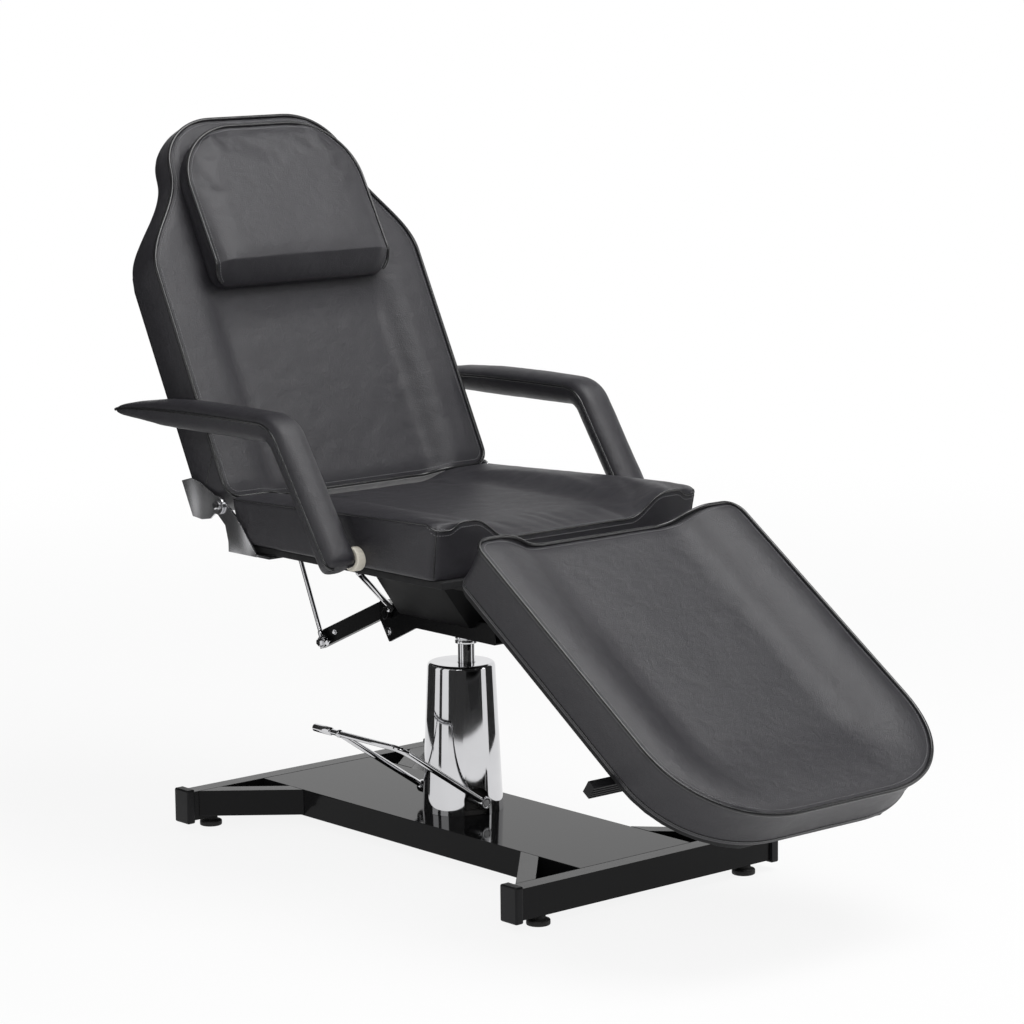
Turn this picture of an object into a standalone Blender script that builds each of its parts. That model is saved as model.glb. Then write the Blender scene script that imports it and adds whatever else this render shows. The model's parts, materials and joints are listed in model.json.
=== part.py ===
"""Hydraulic treatment table: a steel base with a foot pump, a lifting and turning ram, a padded seat
with fold-up arms, a reclining back with a neck pillow, and a hinged leg rest. Gas struts hold the back
and the leg rest. Metres, +Z up, +X to the occupant's left, leg rest towards -Y, origin on the floor
under the middle of the table."""

import math

import bmesh
import bpy
from mathutils import Matrix, Vector

for old in list(bpy.data.objects):
    bpy.data.objects.remove(old, do_unlink=True)

# Clearances: GAP between pieces that touch, RUN between a pin and its hole
GAP = 0.0003
RUN = 0.0004

# Base frame
FOOT_RADIUS = 0.019
FOOT_PAD = 0.010
FOOT_NECK = 0.0067
FOOT_NECK_RADIUS = 0.011
STUD_RADIUS = 0.0048
STUD_LENGTH = 0.022
FOOT_X = 0.220
BAR_HEIGHT = 0.050
BAR_DEPTH = 0.030
BAR_WALL = 0.002
BAR_HALF = 0.265
FRONT_BAR_Y = -0.442
REAR_BAR_Y = 0.412
CAP_LENGTH = 0.016
CAP_FLARE = 0.0045
CAP_PLUG = 0.020
TRAY_HALF = 0.118
TRAY_HEIGHT = 0.046
TRAY_SHEET = 0.003
BRACE_WIDTH = 0.030
BRACE_HEIGHT = 0.044
BRACE_IN_FRONT = 0.122
BRACE_IN_REAR = 0.096
BRACE_OUT_X = 0.232

# Pump
BODY_FLANGE_RADIUS = 0.060
BODY_FLANGE = 0.008
BODY_RADIUS = 0.050
BODY_RISE = 0.051
BOSS_RADIUS = 0.048
BOSS_DROP = 0.036
CYLINDER_RADIUS = 0.028
CYLINDER_BORE = 0.0222
CYLINDER_LENGTH = 0.1777
PISTON_LENGTH = 0.022
PISTON_REST = 0.006
RAM_RADIUS = 0.014
RAM_Y = -0.0135
GLAND_LENGTH = 0.0165
COVER_BOTTOM_RADIUS = 0.0675
COVER_TOP_RADIUS = 0.056
COVER_HEIGHT = 0.2487
COVER_WALL = 0.002
COVER_SLOT_WIDTH = 0.042
COVER_SLOT_HEIGHT = 0.047
RAM_SHOW = 0.033

# Pedal
PEDAL_X = -0.020
PEDAL_RISE = 0.026
PEDAL_ARM_Y = 0.080
PEDAL_REACH = 0.175
PEDAL_LIFT = 0.117
PEDAL_TIP_Y = 0.142
PEDAL_ROD_RADIUS = 0.005
PEDAL_BEND = 0.020
PEDAL_GRIP_RADIUS = 0.0068
PEDAL_GRIP = 0.042
PEDAL_HUB_RADIUS = 0.0105
PEDAL_HUB = 0.010
PEDAL_SHAFT_RADIUS = 0.006
LOBE_LENGTH = 0.024
LOBE_HALF = 0.0045
LOBE_WIDTH = 0.014
LOBE_ROOM = 0.0015
PEDAL_TRAVEL = math.radians(24)
PLUNGER_OFFSET = 0.018
PLUNGER_RADIUS = 0.0054
PLUNGER_LENGTH = 0.040
PLUNGER_STROKE = 0.0096

# Seat frame
SOCKET_RADIUS = 0.0187
SOCKET_DROP = 0.012
SOCKET_CROWN = 0.0032
BEAM_WIDTH = 0.044
BEAM_HEIGHT = 0.034
BEAM_WALL = 0.003
BEAM_FRONT_Y = -0.112
BEAM_REAR_Y = 0.186
GUSSET_DEPTH = 0.033
GUSSET_LENGTH = 0.098
GUSSET_SHEET = 0.005
BRACKET_HEIGHT = 0.0861
BRACKET_LAP = 0.012
BRACKET_SHEET = 0.003
BRACKET_FOOT_HALF = 0.030
BRACKET_FOOT_FRONT_Y = -0.060
BRACKET_FOOT_REAR_Y = 0.125
BRACKET_TOP_HALF = 0.155
BRACKET_TOP_FRONT_Y = -0.140
BRACKET_TOP_REAR_Y = 0.036
RAIL_SIZE = 0.025
RAIL_WALL = 0.002
RAIL_X = 0.150
RAIL_REAR_Y = 0.160
RAIL_NOSE = 0.012
ARM_BAR_WIDTH = 0.012
ARM_BAR_HEIGHT = 0.031
ARM_BAR_SIDE = 0.040

# Seat
BOARD = 0.012
BOARD_INSET = 0.008
SEAT_HALF = 0.279
SEAT_FRONT_Y = -0.280
SEAT_REAR_Y = 0.2555
SEAT_FRONT_RAKE = 0.010
SEAT_REAR_RAKE = 0.020
SEAT_MIDDLE = 0.059
SEAT_EDGE_REAR = 0.071
SEAT_EDGE_FRONT = 0.090

# Back, in its own plane: along the back from the hinge, and out from it
BACK_HINGE_Y = 0.277
BACK_HINGE_RISE = 0.059
BACK_ANGLE = math.radians(63)
BACK_FRONT = 0.021
BACK_THICKNESS = 0.090
BACK_START = 0.003
BACK_LENGTH = 0.675
BACK_OVER_SEAT = 0.001
BACK_HALF = SEAT_HALF + BACK_OVER_SEAT
BACK_DIP = 0.020
SHOULDER_START = 0.408
SHOULDER_END = 0.592
HEAD_HALF = 0.190
HEAD_TOP_HALF = 0.078
HEAD_CORNER = 0.093
HEAD_THICKNESS = 0.047
HEAD_START = 0.445
HEAD_END = 0.585

# Leg rest, in its own plane: along the leg from the hinge, and out from it
LEG_HINGE_Y = -0.310
LEG_HINGE_RISE = 0.0083
LEG_ANGLE = math.radians(34.5)
LEG_FRONT = 0.1155
LEG_THICKNESS = 0.090
LEG_START = -0.015
LEG_LENGTH = 0.632
LEG_UNDER_SEAT = 0.002
LEG_HALF = SEAT_HALF - LEG_UNDER_SEAT
LEG_DIP = 0.032
LEG_ROUND = 0.180
LEG_ROUND_POWER = 2.2
LEG_END_RAKE = 0.016
LEG_FADE = 0.200
LEG_END_HALF = 0.090
STRAP = 0.006
STRAP_EYE = 0.013
STRAP_LENGTH = 0.408
LEG_PIN_RADIUS = 0.005
LEG_BAR_OVERHANG = 0.033
LEG_BAR_HALF = LEG_HALF + LEG_BAR_OVERHANG
LEG_BAR_DEPTH = 0.022
LEG_BAR_WIDTH = 0.016

# Padding
PAD_CREST = 0.005
PAD_CREST_IN = 0.030
PAD_ROLL_IN = 0.055
PAD_ROLL_END = 0.135
PAD_CORNER = 0.028
PAD_CORNER_SHARES = (0, 0.12, 0.45, 1, 1.6)
PAD_DRAW_IN = 0.003
PAD_SIDE = ((0, 0.12), (1, 0.5), (0.5, 0.9), (1, 1))
BACK_FLARE = 0.004

# Pillow, placed along the back
PILLOW_FOOT = 0.365
PILLOW_LENGTH = 0.287
PILLOW_HALF = 0.184
PILLOW_TOP_HALF = 0.060
PILLOW_ROUND = 0.110
PILLOW_FOLD = 0.050
PILLOW_THICK = 0.046
PILLOW_TOP_THICK = 0.032
PILLOW_FOOT_SHARE = 0.2
PILLOW_EDGE_SHARE = 0.7
PILLOW_COLUMNS = (-1, -0.95, -0.9, -0.83, -0.6, -0.3, 0, 0.3, 0.6, 0.83, 0.9, 0.95, 1)

# Hinge plates
PLATE = 0.0035
PLATE_CLEARANCE = 0.0015
PLATE_X = BACK_HALF + PLATE_CLEARANCE
PLATE_EYE = 0.016
PLATE_FOOT = 0.101
PLATE_FLANGE = 0.004
PLATE_FLANGE_REACH = 0.0815
PLATE_FLANGE_IN = PLATE_X - PLATE_FLANGE_REACH
PLATE_FLANGE_LOW = 0.020
PLATE_FLANGE_HIGH = 0.070
SEAT_PLATE_NECK = ((-0.041, -0.011), (-0.061, -0.029), (-0.079, -0.049))
BACK_PLATE_ARM = (
    (0.050, -0.026), (0.066, -0.046), (0.072, -0.074), (0.008, -0.074), (-0.006, -0.052), (-0.013, -0.030)
)
HINGE_BOLT_RADIUS = 0.005
BOLT_HEAD_RADIUS = 0.008
BOLT_HEAD = 0.006
HINGE_NUT = 0.003
HINGE_NUT_RADIUS = 0.007

# Arms
ARM_PIVOT_Y = -0.086
ARM_PIVOT_RISE = 0.015
ARM_SPACER = 0.0164
ARM_SPACER_RADIUS = 0.0195
ARM_HALF_WIDTH = 0.029
ARM_HALF_DEPTH = 0.024
ARM_TIP_Y = 0.486
ARM_ELBOW_Y = 0.048
ARM_TOP_RISE = 0.197
ARM_DROOP = 0.010
ARM_ELBOW_RADIUS = 0.050
ARM_FOOT_ROUND = 0.014
ARM_SIDES = 14
ARM_FLAT_SIDE = 0.7
ARM_FLAT_TOP = 0.8
ARM_ELBOW_STEPS = 5
# Rings of the arm: shares of the run, of the width, of the depth and, at the tip, of the droop
ARM_TIP_RINGS = (
    (0, 0.35, 0.12, 1), (0.012, 0.7, 0.25, 0.95), (0.05, 0.92, 0.42, 0.75), (0.14, 1, 0.62, 0.5),
    (0.3, 1, 0.88, 0.3), (0.5, 1, 1, 0.1), (0.75, 1, 1, 0)
)
ARM_LEG_RINGS = ((0.35, 1, 1), (0.7, 1, 1), (1, 1, 1.05))
ARM_FOOT_RINGS = ((0.6, 0.95, 1), (0.9, 0.8, 0.85), (1, 0.5, 0.6))
STUD_PLATE = 0.006
STUD_PLATE_INSET = 0.024
STUD_PLATE_X = SEAT_HALF - STUD_PLATE_INSET
STUD_PLATE_HALF = 0.025
STUD_PLATE_RISE = 0.037
STUD_FLANGE = 0.024
ARM_STUD_RADIUS = 0.006
ARM_STUD_OUT = 0.051
ARM_STUD_END = SEAT_HALF + ARM_STUD_OUT

# Gas struts
STRUT_X = -0.069
STRUT_FOOT_Y = 0.283
STRUT_FOOT_Z = 0.317
STRUT_STANDOFF = 0.028
STRUT_EYE_RADIUS = 0.010
STRUT_EYE = 0.010
STRUT_PIN_RADIUS = 0.004
STRUT_ROD_RADIUS = 0.004
STRUT_TUBE_RADIUS = 0.010
STRUT_TUBE_BORE = 0.0075
STRUT_GLAND = 0.010
STRUT_PISTON = 0.008
BACK_TUBE = 0.229
BACK_ROD = 0.262
LEG_STRUT_X = 0.010
LEG_STRUT_Y = -0.128
LEG_TUBE = 0.230
LEG_ROD = 0.260
LUG_SHEET = 0.006
LUG_BASE_HALF = 0.025

# Release lever under the seat
LEVER_Y = 0.160
LEVER_RADIUS = 0.005
LEVER_HUB_RADIUS = 0.010
LEVER_HUB = 0.010
LEVER_NECK = 0.018
LEVER_ROOM = 0.002
LEVER_HAND = Vector((-0.205, 0.010, 0.489))

# Heights that follow from the sizes above
BAR_BOTTOM = FOOT_PAD + FOOT_NECK + GAP
BAR_TOP = BAR_BOTTOM + BAR_HEIGHT
BODY_TOP = BAR_TOP + BODY_RISE
COVER_TOP = BAR_TOP + GAP + COVER_HEIGHT
SOCKET_BOTTOM = COVER_TOP + RAM_SHOW
BEAM_BOTTOM = SOCKET_BOTTOM + SOCKET_DROP
BEAM_TOP = BEAM_BOTTOM + BEAM_HEIGHT
BEAM_MIDDLE = (BEAM_BOTTOM + BEAM_TOP) / 2
RAIL_BOTTOM = BEAM_TOP + BRACKET_HEIGHT + GAP
RAIL_TOP = RAIL_BOTTOM + RAIL_SIZE
BOARD_BOTTOM = RAIL_TOP + GAP
BOARD_TOP = BOARD_BOTTOM + BOARD
SEAT_BOTTOM = BOARD_TOP + GAP
PEDAL_Z = BAR_TOP + PEDAL_RISE

# Joint axes, in a frame whose origin is on the floor under the ram
BACK_HINGE = Vector((0, BACK_HINGE_Y, BOARD_TOP + BACK_HINGE_RISE))
LEG_HINGE = Vector((0, LEG_HINGE_Y, RAIL_BOTTOM + LEG_HINGE_RISE))
STRUT_FOOT = Vector((STRUT_X, STRUT_FOOT_Y, STRUT_FOOT_Z))
LEG_STRUT_FOOT = Vector((LEG_STRUT_X, LEG_STRUT_Y, BEAM_MIDDLE))
ARM_PIVOT_Z = BOARD_TOP + ARM_PIVOT_RISE
BACK_REAR = BACK_FRONT - BACK_THICKNESS
LEG_REAR = LEG_FRONT - LEG_THICKNESS


def on_back(x, along, out):
    """A point given along the back and out from it, at the hinge's origin."""
    up = Vector((0, math.cos(BACK_ANGLE), math.sin(BACK_ANGLE)))
    front = Vector((0, -math.sin(BACK_ANGLE), math.cos(BACK_ANGLE)))
    return BACK_HINGE + Vector((x, 0, 0)) + up * along + front * out


def on_leg(x, along, out):
    """A point given down the leg rest and out from it, at the hinge's origin."""
    down = Vector((0, -math.cos(LEG_ANGLE), -math.sin(LEG_ANGLE)))
    front = Vector((0, -math.sin(LEG_ANGLE), math.cos(LEG_ANGLE)))
    return LEG_HINGE + Vector((x, 0, 0)) + down * along + front * out


# Each strut's ends lie at one distance from its hinge, so it turns half as far as the piece it holds
STRUT_HEAD_OUT = BACK_REAR - STRUT_STANDOFF
STRUT_SWING = math.hypot(STRUT_FOOT.y - BACK_HINGE.y, STRUT_FOOT.z - BACK_HINGE.z)
STRUT_HEAD_ALONG = math.sqrt(STRUT_SWING**2 - STRUT_HEAD_OUT**2)
STRUT_HEAD = on_back(STRUT_X, STRUT_HEAD_ALONG, STRUT_HEAD_OUT)
LEG_STRUT_SWING = math.hypot(LEG_STRUT_FOOT.y - LEG_HINGE.y, LEG_STRUT_FOOT.z - LEG_HINGE.z)
LEG_STRUT_HEAD = on_leg(LEG_STRUT_X, LEG_STRUT_SWING, 0)

# The table's length is centred on the origin
TABLE_FRONT = on_leg(0, LEG_START + LEG_LENGTH, LEG_FRONT).y
TABLE_REAR = on_back(0, BACK_START + BACK_LENGTH + BACK_FLARE, BACK_FRONT - HEAD_THICKNESS).y
PUMP_Y = -(TABLE_FRONT + TABLE_REAR) / 2


# Finishes
def finish(name, color, roughness, metallic):
    material = bpy.data.materials.new(name)
    material.use_nodes = True
    shader = material.node_tree.nodes["Principled BSDF"]
    shader.inputs["Base Color"].default_value = (*color, 1)
    shader.inputs["Roughness"].default_value = roughness
    shader.inputs["Metallic"].default_value = metallic
    return material


LEATHER = finish("black_leather", (0.045, 0.045, 0.05), 0.5, 0)
BLACK_PAINT = finish("black_paint", (0.012, 0.012, 0.014), 0.25, 0)
CHROME = finish("chrome", (0.8, 0.8, 0.82), 0.06, 1)
STEEL = finish("steel", (0.5, 0.5, 0.52), 0.3, 1)
CAST_IRON = finish("cast_iron", (0.1, 0.1, 0.11), 0.6, 1)
BLACK_PLASTIC = finish("black_plastic", (0.015, 0.015, 0.017), 0.45, 0)
RUBBER = finish("rubber", (0.02, 0.02, 0.02), 0.8, 0)
CREAM_PLASTIC = finish("cream_plastic", (0.75, 0.68, 0.55), 0.4, 0)
WRAPPED_BOARD = finish("wrapped_board", (0.02, 0.02, 0.022), 0.7, 0)


# Bodies: an empty on each joint's axis carries the pieces that turn or slide there
class Body:
    def __init__(self, name, pivot, parent=None):
        self.pivot = Vector(pivot)
        self.empty = bpy.data.objects.new(name + "_axis", None)
        bpy.context.scene.collection.objects.link(self.empty)
        if parent:
            self.empty.parent = parent.empty
            self.empty.location = self.pivot - parent.pivot
        else:
            self.empty.location = (0, PUMP_Y, 0)


def piece(name, shape, body, material):
    """Makes a named object of a shape drawn in the ram's frame, carried by a body."""
    bmesh.ops.recalc_face_normals(shape, faces=shape.faces)
    bmesh.ops.translate(shape, vec=-body.pivot, verts=shape.verts)
    mesh = bpy.data.meshes.new(name)
    shape.to_mesh(mesh)
    shape.free()
    mesh.materials.append(material)
    mesh.shade_smooth()
    mesh.set_sharp_from_angle(angle=math.radians(35))
    made = bpy.data.objects.new(name, mesh)
    made.parent = body.empty
    bpy.context.scene.collection.objects.link(made)
    return made


def combine(target, operation, shape, body):
    """Joins a shape to a piece, or cuts it away, with a Boolean whose operand stays out of the model."""
    tool = piece(target.name + "_tool", shape, body, target.data.materials[0])
    tool.hide_render = True
    tool.display_type = "WIRE"
    boolean = target.modifiers.new(operation.lower(), "BOOLEAN")
    boolean.operation = operation
    boolean.solver = "EXACT"
    boolean.object = tool


# Shapes
def box(x0, x1, y0, y1, z0, z1):
    shape = bmesh.new()
    size = Matrix.Diagonal((x1 - x0, y1 - y0, z1 - z0, 1))
    middle = Matrix.Translation(((x0 + x1) / 2, (y0 + y1) / 2, (z0 + z1) / 2))
    bmesh.ops.create_cube(shape, size=1, matrix=middle @ size)
    return shape


def loft(rings, closed=False):
    """Skins equal rings of points, capping the two ends, or joining the last ring to the first."""
    shape = bmesh.new()
    made = [[shape.verts.new(point) for point in ring] for ring in rings]
    pairs = list(zip(made, made[1:]))
    if closed:
        pairs.append((made[-1], made[0]))
    else:
        shape.faces.new(made[0])
        shape.faces.new(made[-1])
    count = len(made[0])
    for one, two in pairs:
        for k in range(count):
            after = (k + 1) % count
            shape.faces.new((one[k], one[after], two[after], two[k]))
    return shape


def facing(axis):
    """Turns a shape drawn along +Z to lie along an axis."""
    return Vector((0, 0, 1)).rotation_difference(Vector(axis)).to_matrix().to_4x4()


def turned(profile, sides, at=(0, 0, 0), axis=(0, 0, 1), bored=False):
    """Turns a profile of (radius, height) points; a bored profile is a closed loop."""
    angles = [2 * math.pi * k / sides for k in range(sides)]
    rings = [[(r * math.cos(a), r * math.sin(a), h) for a in angles] for r, h in profile]
    shape = loft(rings, closed=bored)
    bmesh.ops.transform(shape, matrix=Matrix.Translation(at) @ facing(axis), verts=shape.verts)
    return shape


def rod(start, stop, radius, sides=16):
    start = Vector(start)
    run = Vector(stop) - start
    return turned([(radius, 0), (radius, run.length)], sides, start, run)


def washer(start, stop, radius, bore, sides=20):
    start = Vector(start)
    run = Vector(stop) - start
    profile = [(bore, 0), (radius, 0), (radius, run.length), (bore, run.length)]
    return turned(profile, sides, start, run, bored=True)


def prism(outline, x0, x1):
    """Extrudes a (y, z) outline from x0 to x1."""
    return loft([[(x, y, z) for y, z in outline] for x in (x0, x1)])


def arc(y, z, radius, start, stop, steps):
    """Points of an arc in a plane, from one angle in degrees to another."""
    turns = [math.radians(start + (stop - start) * k / steps) for k in range(steps + 1)]
    return [(y + radius * math.cos(a), z + radius * math.sin(a)) for a in turns]


def rounded(points, radius, steps=4):
    """A path through points in space, with its inner corners rounded."""
    points = [Vector(p) for p in points]
    path = [points[0]]
    for before, corner, after in zip(points, points[1:], points[2:]):
        back = (before - corner).normalized() * radius
        on = (after - corner).normalized() * radius
        for k in range(steps + 1):
            t = k / steps
            path.append(corner + back * (1 - t) ** 2 + on * t**2)
    return path + [points[-1]]


def swept(path, radius, sides=10):
    """A round rod along a path."""
    path = [Vector(p) for p in path]
    side = (path[1] - path[0]).orthogonal().normalized()
    rings = []
    for k, point in enumerate(path):
        run = path[min(k + 1, len(path) - 1)] - path[max(k - 1, 0)]
        run.normalize()
        side = (side - run * side.dot(run)).normalized()
        other = run.cross(side)
        angles = [2 * math.pi * j / sides for j in range(sides)]
        rings.append([point + (side * math.cos(a) + other * math.sin(a)) * radius for a in angles])
    return loft(rings)


def hollow_bar(corners, wall_in, along, first, last):
    """A rectangular tube from its corners, cut off by two planes given as (point, normal)."""
    outer = [Vector(c) for c in corners]
    inner = [Vector(c) for c in wall_in]
    along = Vector(along)

    def cut_at(offset, plane):
        point, normal = Vector(plane[0]), Vector(plane[1])
        return offset + along * ((point - offset).dot(normal) / along.dot(normal))

    rings = [[cut_at(c, plane) for c in ring] for ring, plane in
             ((outer, first), (outer, last), (inner, last), (inner, first))]
    return loft(rings, closed=True)


def square_tube(x, z, width, height, wall, y0, y1):
    """A rectangular tube along Y, its middle at x and z."""
    a, b = width / 2, height / 2
    signs = ((-1, -1), (1, -1), (1, 1), (-1, 1))
    outer = [(x + i * a, 0, z + j * b) for i, j in signs]
    inner = [(x + i * (a - wall), 0, z + j * (b - wall)) for i, j in signs]
    return hollow_bar(outer, inner, (0, 1, 0), ((0, y0, 0), (0, 1, 0)), ((0, y1, 0), (0, 1, 0)))


# Padding: a front face with side bolsters, boxed sides that draw in, and a flat back
def ease(t):
    t = min(max(t, 0), 1)
    return (1 - math.cos(math.pi * t)) / 2


def crest(distance):
    """Share of the crown's height at a distance in from a sewn edge."""
    return math.sin(math.pi / 2 * min(distance / PAD_CREST_IN, 1))


def dip(distance):
    """Share of the middle's dip at a distance in from a side edge: none on the bolster."""
    return ease((distance - PAD_ROLL_IN) / (PAD_ROLL_END - PAD_ROLL_IN))


def pad_columns(half):
    """Places across a pad, as shares of its half width, closer together over the bolsters."""
    steps = (0, 0.3, 0.6, 1)
    marks = [PAD_CREST_IN * k for k in steps]
    marks += [PAD_ROLL_IN + (PAD_ROLL_END - PAD_ROLL_IN) * k for k in (0, 0.33, 0.67, 1)]
    side = [1 - mark / half for mark in marks]
    return [-c for c in side] + [-side[-1] / 2, 0, side[-1] / 2] + side[::-1]


def corner_width(half, distance):
    """Half width at a distance from a pad's end, with its corner rounded."""
    if distance >= PAD_CORNER:
        return half
    return half - PAD_CORNER + math.sqrt(PAD_CORNER**2 - (PAD_CORNER - distance) ** 2)


def cushion(rows, columns, half_width, front, bottom, place, draw_in=PAD_DRAW_IN):
    """A pad on a grid of rows and columns, with place giving the point for (x, along, out)."""
    shape = bmesh.new()
    spots = [[(share * half_width(s), s, front(share, s)) for share in columns] for s in rows]
    face = [[shape.verts.new(place(*spot)) for spot in row] for row in spots]
    for low, high in zip(face, face[1:]):
        for k in range(len(columns) - 1):
            shape.faces.new((low[k], low[k + 1], high[k + 1], high[k]))
    last = len(rows) - 1
    order = [(0, k) for k in range(len(columns))]
    order += [(i, -1) for i in range(1, last + 1)]
    order += [(last, k) for k in range(len(columns) - 2, -1, -1)]
    order += [(i, 0) for i in range(last - 1, 0, -1)]
    rim = [spots[i][k] for i, k in order]
    above = [face[i][k] for i, k in order]
    count = len(rim)
    inward = []
    for k in range(count):
        before, after = rim[k - 1], rim[(k + 1) % count]
        run = Vector((after[0] - before[0], after[1] - before[1])).normalized()
        inward.append(Vector((-run.y, run.x)))
    for drawn, share in PAD_SIDE:
        inset = draw_in * drawn
        below = []
        for (x, s, out), draw in zip(rim, inward):
            level = out + (bottom(s) - out) * share
            below.append(shape.verts.new(place(x + draw.x * inset, s + draw.y * inset, level)))
        for k in range(count):
            after = (k + 1) % count
            shape.faces.new((above[k], above[after], below[after], below[k]))
        above = below
    across = len(columns)
    right = above[across - 1:across + last]
    left = [above[-i] for i in range(last + 1)]
    shape.faces.new(above[:across] + [right[1], left[1]])
    for i in range(1, last - 1):
        shape.faces.new((left[i], right[i], right[i + 1], left[i + 1]))
    shape.faces.new([left[last - 1], right[last - 1]] + above[across + last - 1:2 * across + last - 1])
    return shape


def board(rows, half_width, low, high, place):
    """A flat board with the outline of the pad that it carries, set in from the pad's edge."""
    right = [(half_width(s) - BOARD_INSET, s) for s in rows]
    outline = right + [(-x, s) for x, s in reversed(right)]
    return loft([[place(x, s, out) for x, s in outline] for out in (low, high)])


# Bodies, from the floor up
base = Body("base", (0, 0, 0))
ram_body = Body("ram", (0, RAM_Y, COVER_TOP), base)
seat_body = Body("seat", (0, RAM_Y, BEAM_MIDDLE), ram_body)
pedal_body = Body("pedal", (PEDAL_X, 0, PEDAL_Z), base)
plunger_x = PEDAL_X - PLUNGER_OFFSET
plunger_top = PEDAL_Z - LOBE_HALF - GAP
plunger_body = Body("plunger", (plunger_x, 0, plunger_top), base)
back_body = Body("back", BACK_HINGE, seat_body)
pillow_body = Body("pillow", on_back(0, PILLOW_FOOT, BACK_FRONT), back_body)
leg_body = Body("leg", LEG_HINGE, seat_body)
back_rod_body = Body("back_strut_rod", STRUT_FOOT, seat_body)
back_tube_body = Body("back_strut_tube", STRUT_HEAD, back_body)
leg_rod_body = Body("leg_strut_rod", LEG_STRUT_FOOT, seat_body)
leg_tube_body = Body("leg_strut_tube", LEG_STRUT_HEAD, leg_body)
lever_x = -BEAM_WIDTH / 2 - LEVER_HUB / 2 - LEVER_ROOM
lever_hub = Vector((lever_x, LEVER_Y, BEAM_MIDDLE))
lever_body = Body("lever", lever_hub, seat_body)

# Base frame: two cross bars joined by a folded tray, with a brace in each corner
bar_z = BAR_BOTTOM + BAR_HEIGHT / 2
signs = ((-1, -1), (1, -1), (1, 1), (-1, 1))
for end, bar_y in (("front", FRONT_BAR_Y), ("rear", REAR_BAR_Y)):
    skin = [(0, bar_y + i * BAR_DEPTH / 2, bar_z + j * BAR_HEIGHT / 2) for i, j in signs]
    bore = [(0, bar_y + i * (BAR_DEPTH / 2 - BAR_WALL), bar_z + j * (BAR_HEIGHT / 2 - BAR_WALL))
            for i, j in signs]
    left_end = ((-BAR_HALF, 0, 0), (1, 0, 0))
    right_end = ((BAR_HALF, 0, 0), (1, 0, 0))
    tube = hollow_bar(skin, bore, (1, 0, 0), left_end, right_end)
    bar = piece(f"base_{end}_bar", tube, base, BLACK_PAINT)
    inward = 1 if end == "front" else -1
    brace_in = BRACE_IN_FRONT if end == "front" else BRACE_IN_REAR
    bar_face = bar_y + inward * BAR_DEPTH / 2
    for side, sign in (("right", -1), ("left", 1)):
        # Levelling foot, screwed into the bar from below
        foot_x = sign * FOOT_X
        hole = rod((foot_x, bar_y, BAR_BOTTOM - BAR_WALL), (foot_x, bar_y, BAR_BOTTOM + 2 * BAR_WALL),
                   STUD_RADIUS + RUN)
        combine(bar, "DIFFERENCE", hole, base)
        foot_body = Body(f"{end}_{side}_foot", (foot_x, bar_y, 0), base)
        foot_top = FOOT_PAD + FOOT_NECK
        foot = [(FOOT_RADIUS, 0), (FOOT_RADIUS, FOOT_PAD), (FOOT_NECK_RADIUS, foot_top),
                (STUD_RADIUS, foot_top), (STUD_RADIUS, foot_top + STUD_LENGTH)]
        piece(f"{end}_{side}_foot", turned(foot, 20, (foot_x, bar_y, 0)), foot_body, RUBBER)

        # End cap, plugged into the bar
        cap_x = sorted((sign * (BAR_HALF + GAP), sign * (BAR_HALF + GAP + CAP_LENGTH)))
        plug_x = sorted((sign * (BAR_HALF - CAP_PLUG), sign * (BAR_HALF + CAP_LENGTH / 2)))
        reach_y = BAR_DEPTH / 2 + CAP_FLARE
        reach_z = BAR_HEIGHT / 2 + CAP_FLARE
        cap = piece(f"base_cap_{end}_{side}",
                    box(*cap_x, bar_y - reach_y, bar_y + reach_y, bar_z - reach_z, bar_z + reach_z),
                    base, BLACK_PLASTIC)
        plug_y = BAR_DEPTH / 2 - BAR_WALL - GAP
        plug_z = BAR_HEIGHT / 2 - BAR_WALL - GAP
        plug = box(*plug_x, bar_y - plug_y, bar_y + plug_y, bar_z - plug_z, bar_z + plug_z)
        combine(cap, "UNION", plug, base)

        # Corner brace, cut to lie against the tray and the bar
        tray_x = sign * (TRAY_HALF + GAP)
        start = Vector((tray_x, bar_face + inward * brace_in, BAR_TOP - BRACE_HEIGHT / 2))
        stop = Vector((sign * BRACE_OUT_X, bar_face + inward * GAP, start.z))
        run = (stop - start).normalized()
        across = Vector((-run.y, run.x, 0))
        half_w, half_h = BRACE_WIDTH / 2, BRACE_HEIGHT / 2
        outer = [start + across * i * half_w + Vector((0, 0, j * half_h)) for i, j in signs]
        inner = [start + across * i * (half_w - BAR_WALL) + Vector((0, 0, j * (half_h - BAR_WALL)))
                 for i, j in signs]
        brace = hollow_bar(outer, inner, run, (start, (1, 0, 0)), (stop, (0, 1, 0)))
        piece(f"base_brace_{end}_{side}", brace, base, BLACK_PAINT)

tray_low = BAR_TOP - TRAY_HEIGHT
tray_front = FRONT_BAR_Y + BAR_DEPTH / 2 + GAP
tray_rear = REAR_BAR_Y - BAR_DEPTH / 2 - GAP
inside = TRAY_HALF - TRAY_SHEET
tray_roof = BAR_TOP - TRAY_SHEET
channel = [(-TRAY_HALF, tray_low), (-TRAY_HALF, BAR_TOP), (TRAY_HALF, BAR_TOP), (TRAY_HALF, tray_low),
           (inside, tray_low), (inside, tray_roof), (-inside, tray_roof), (-inside, tray_low)]
tray_ends = [[(x, y, z) for x, z in channel] for y in (tray_front, tray_rear)]
tray = piece("base_tray", loft(tray_ends), base, BLACK_PAINT)
tray_hole = rod((0, 0, BAR_TOP - 2 * TRAY_SHEET), (0, 0, BAR_TOP + TRAY_SHEET), BOSS_RADIUS + GAP, 32)
combine(tray, "DIFFERENCE", tray_hole, base)

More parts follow.
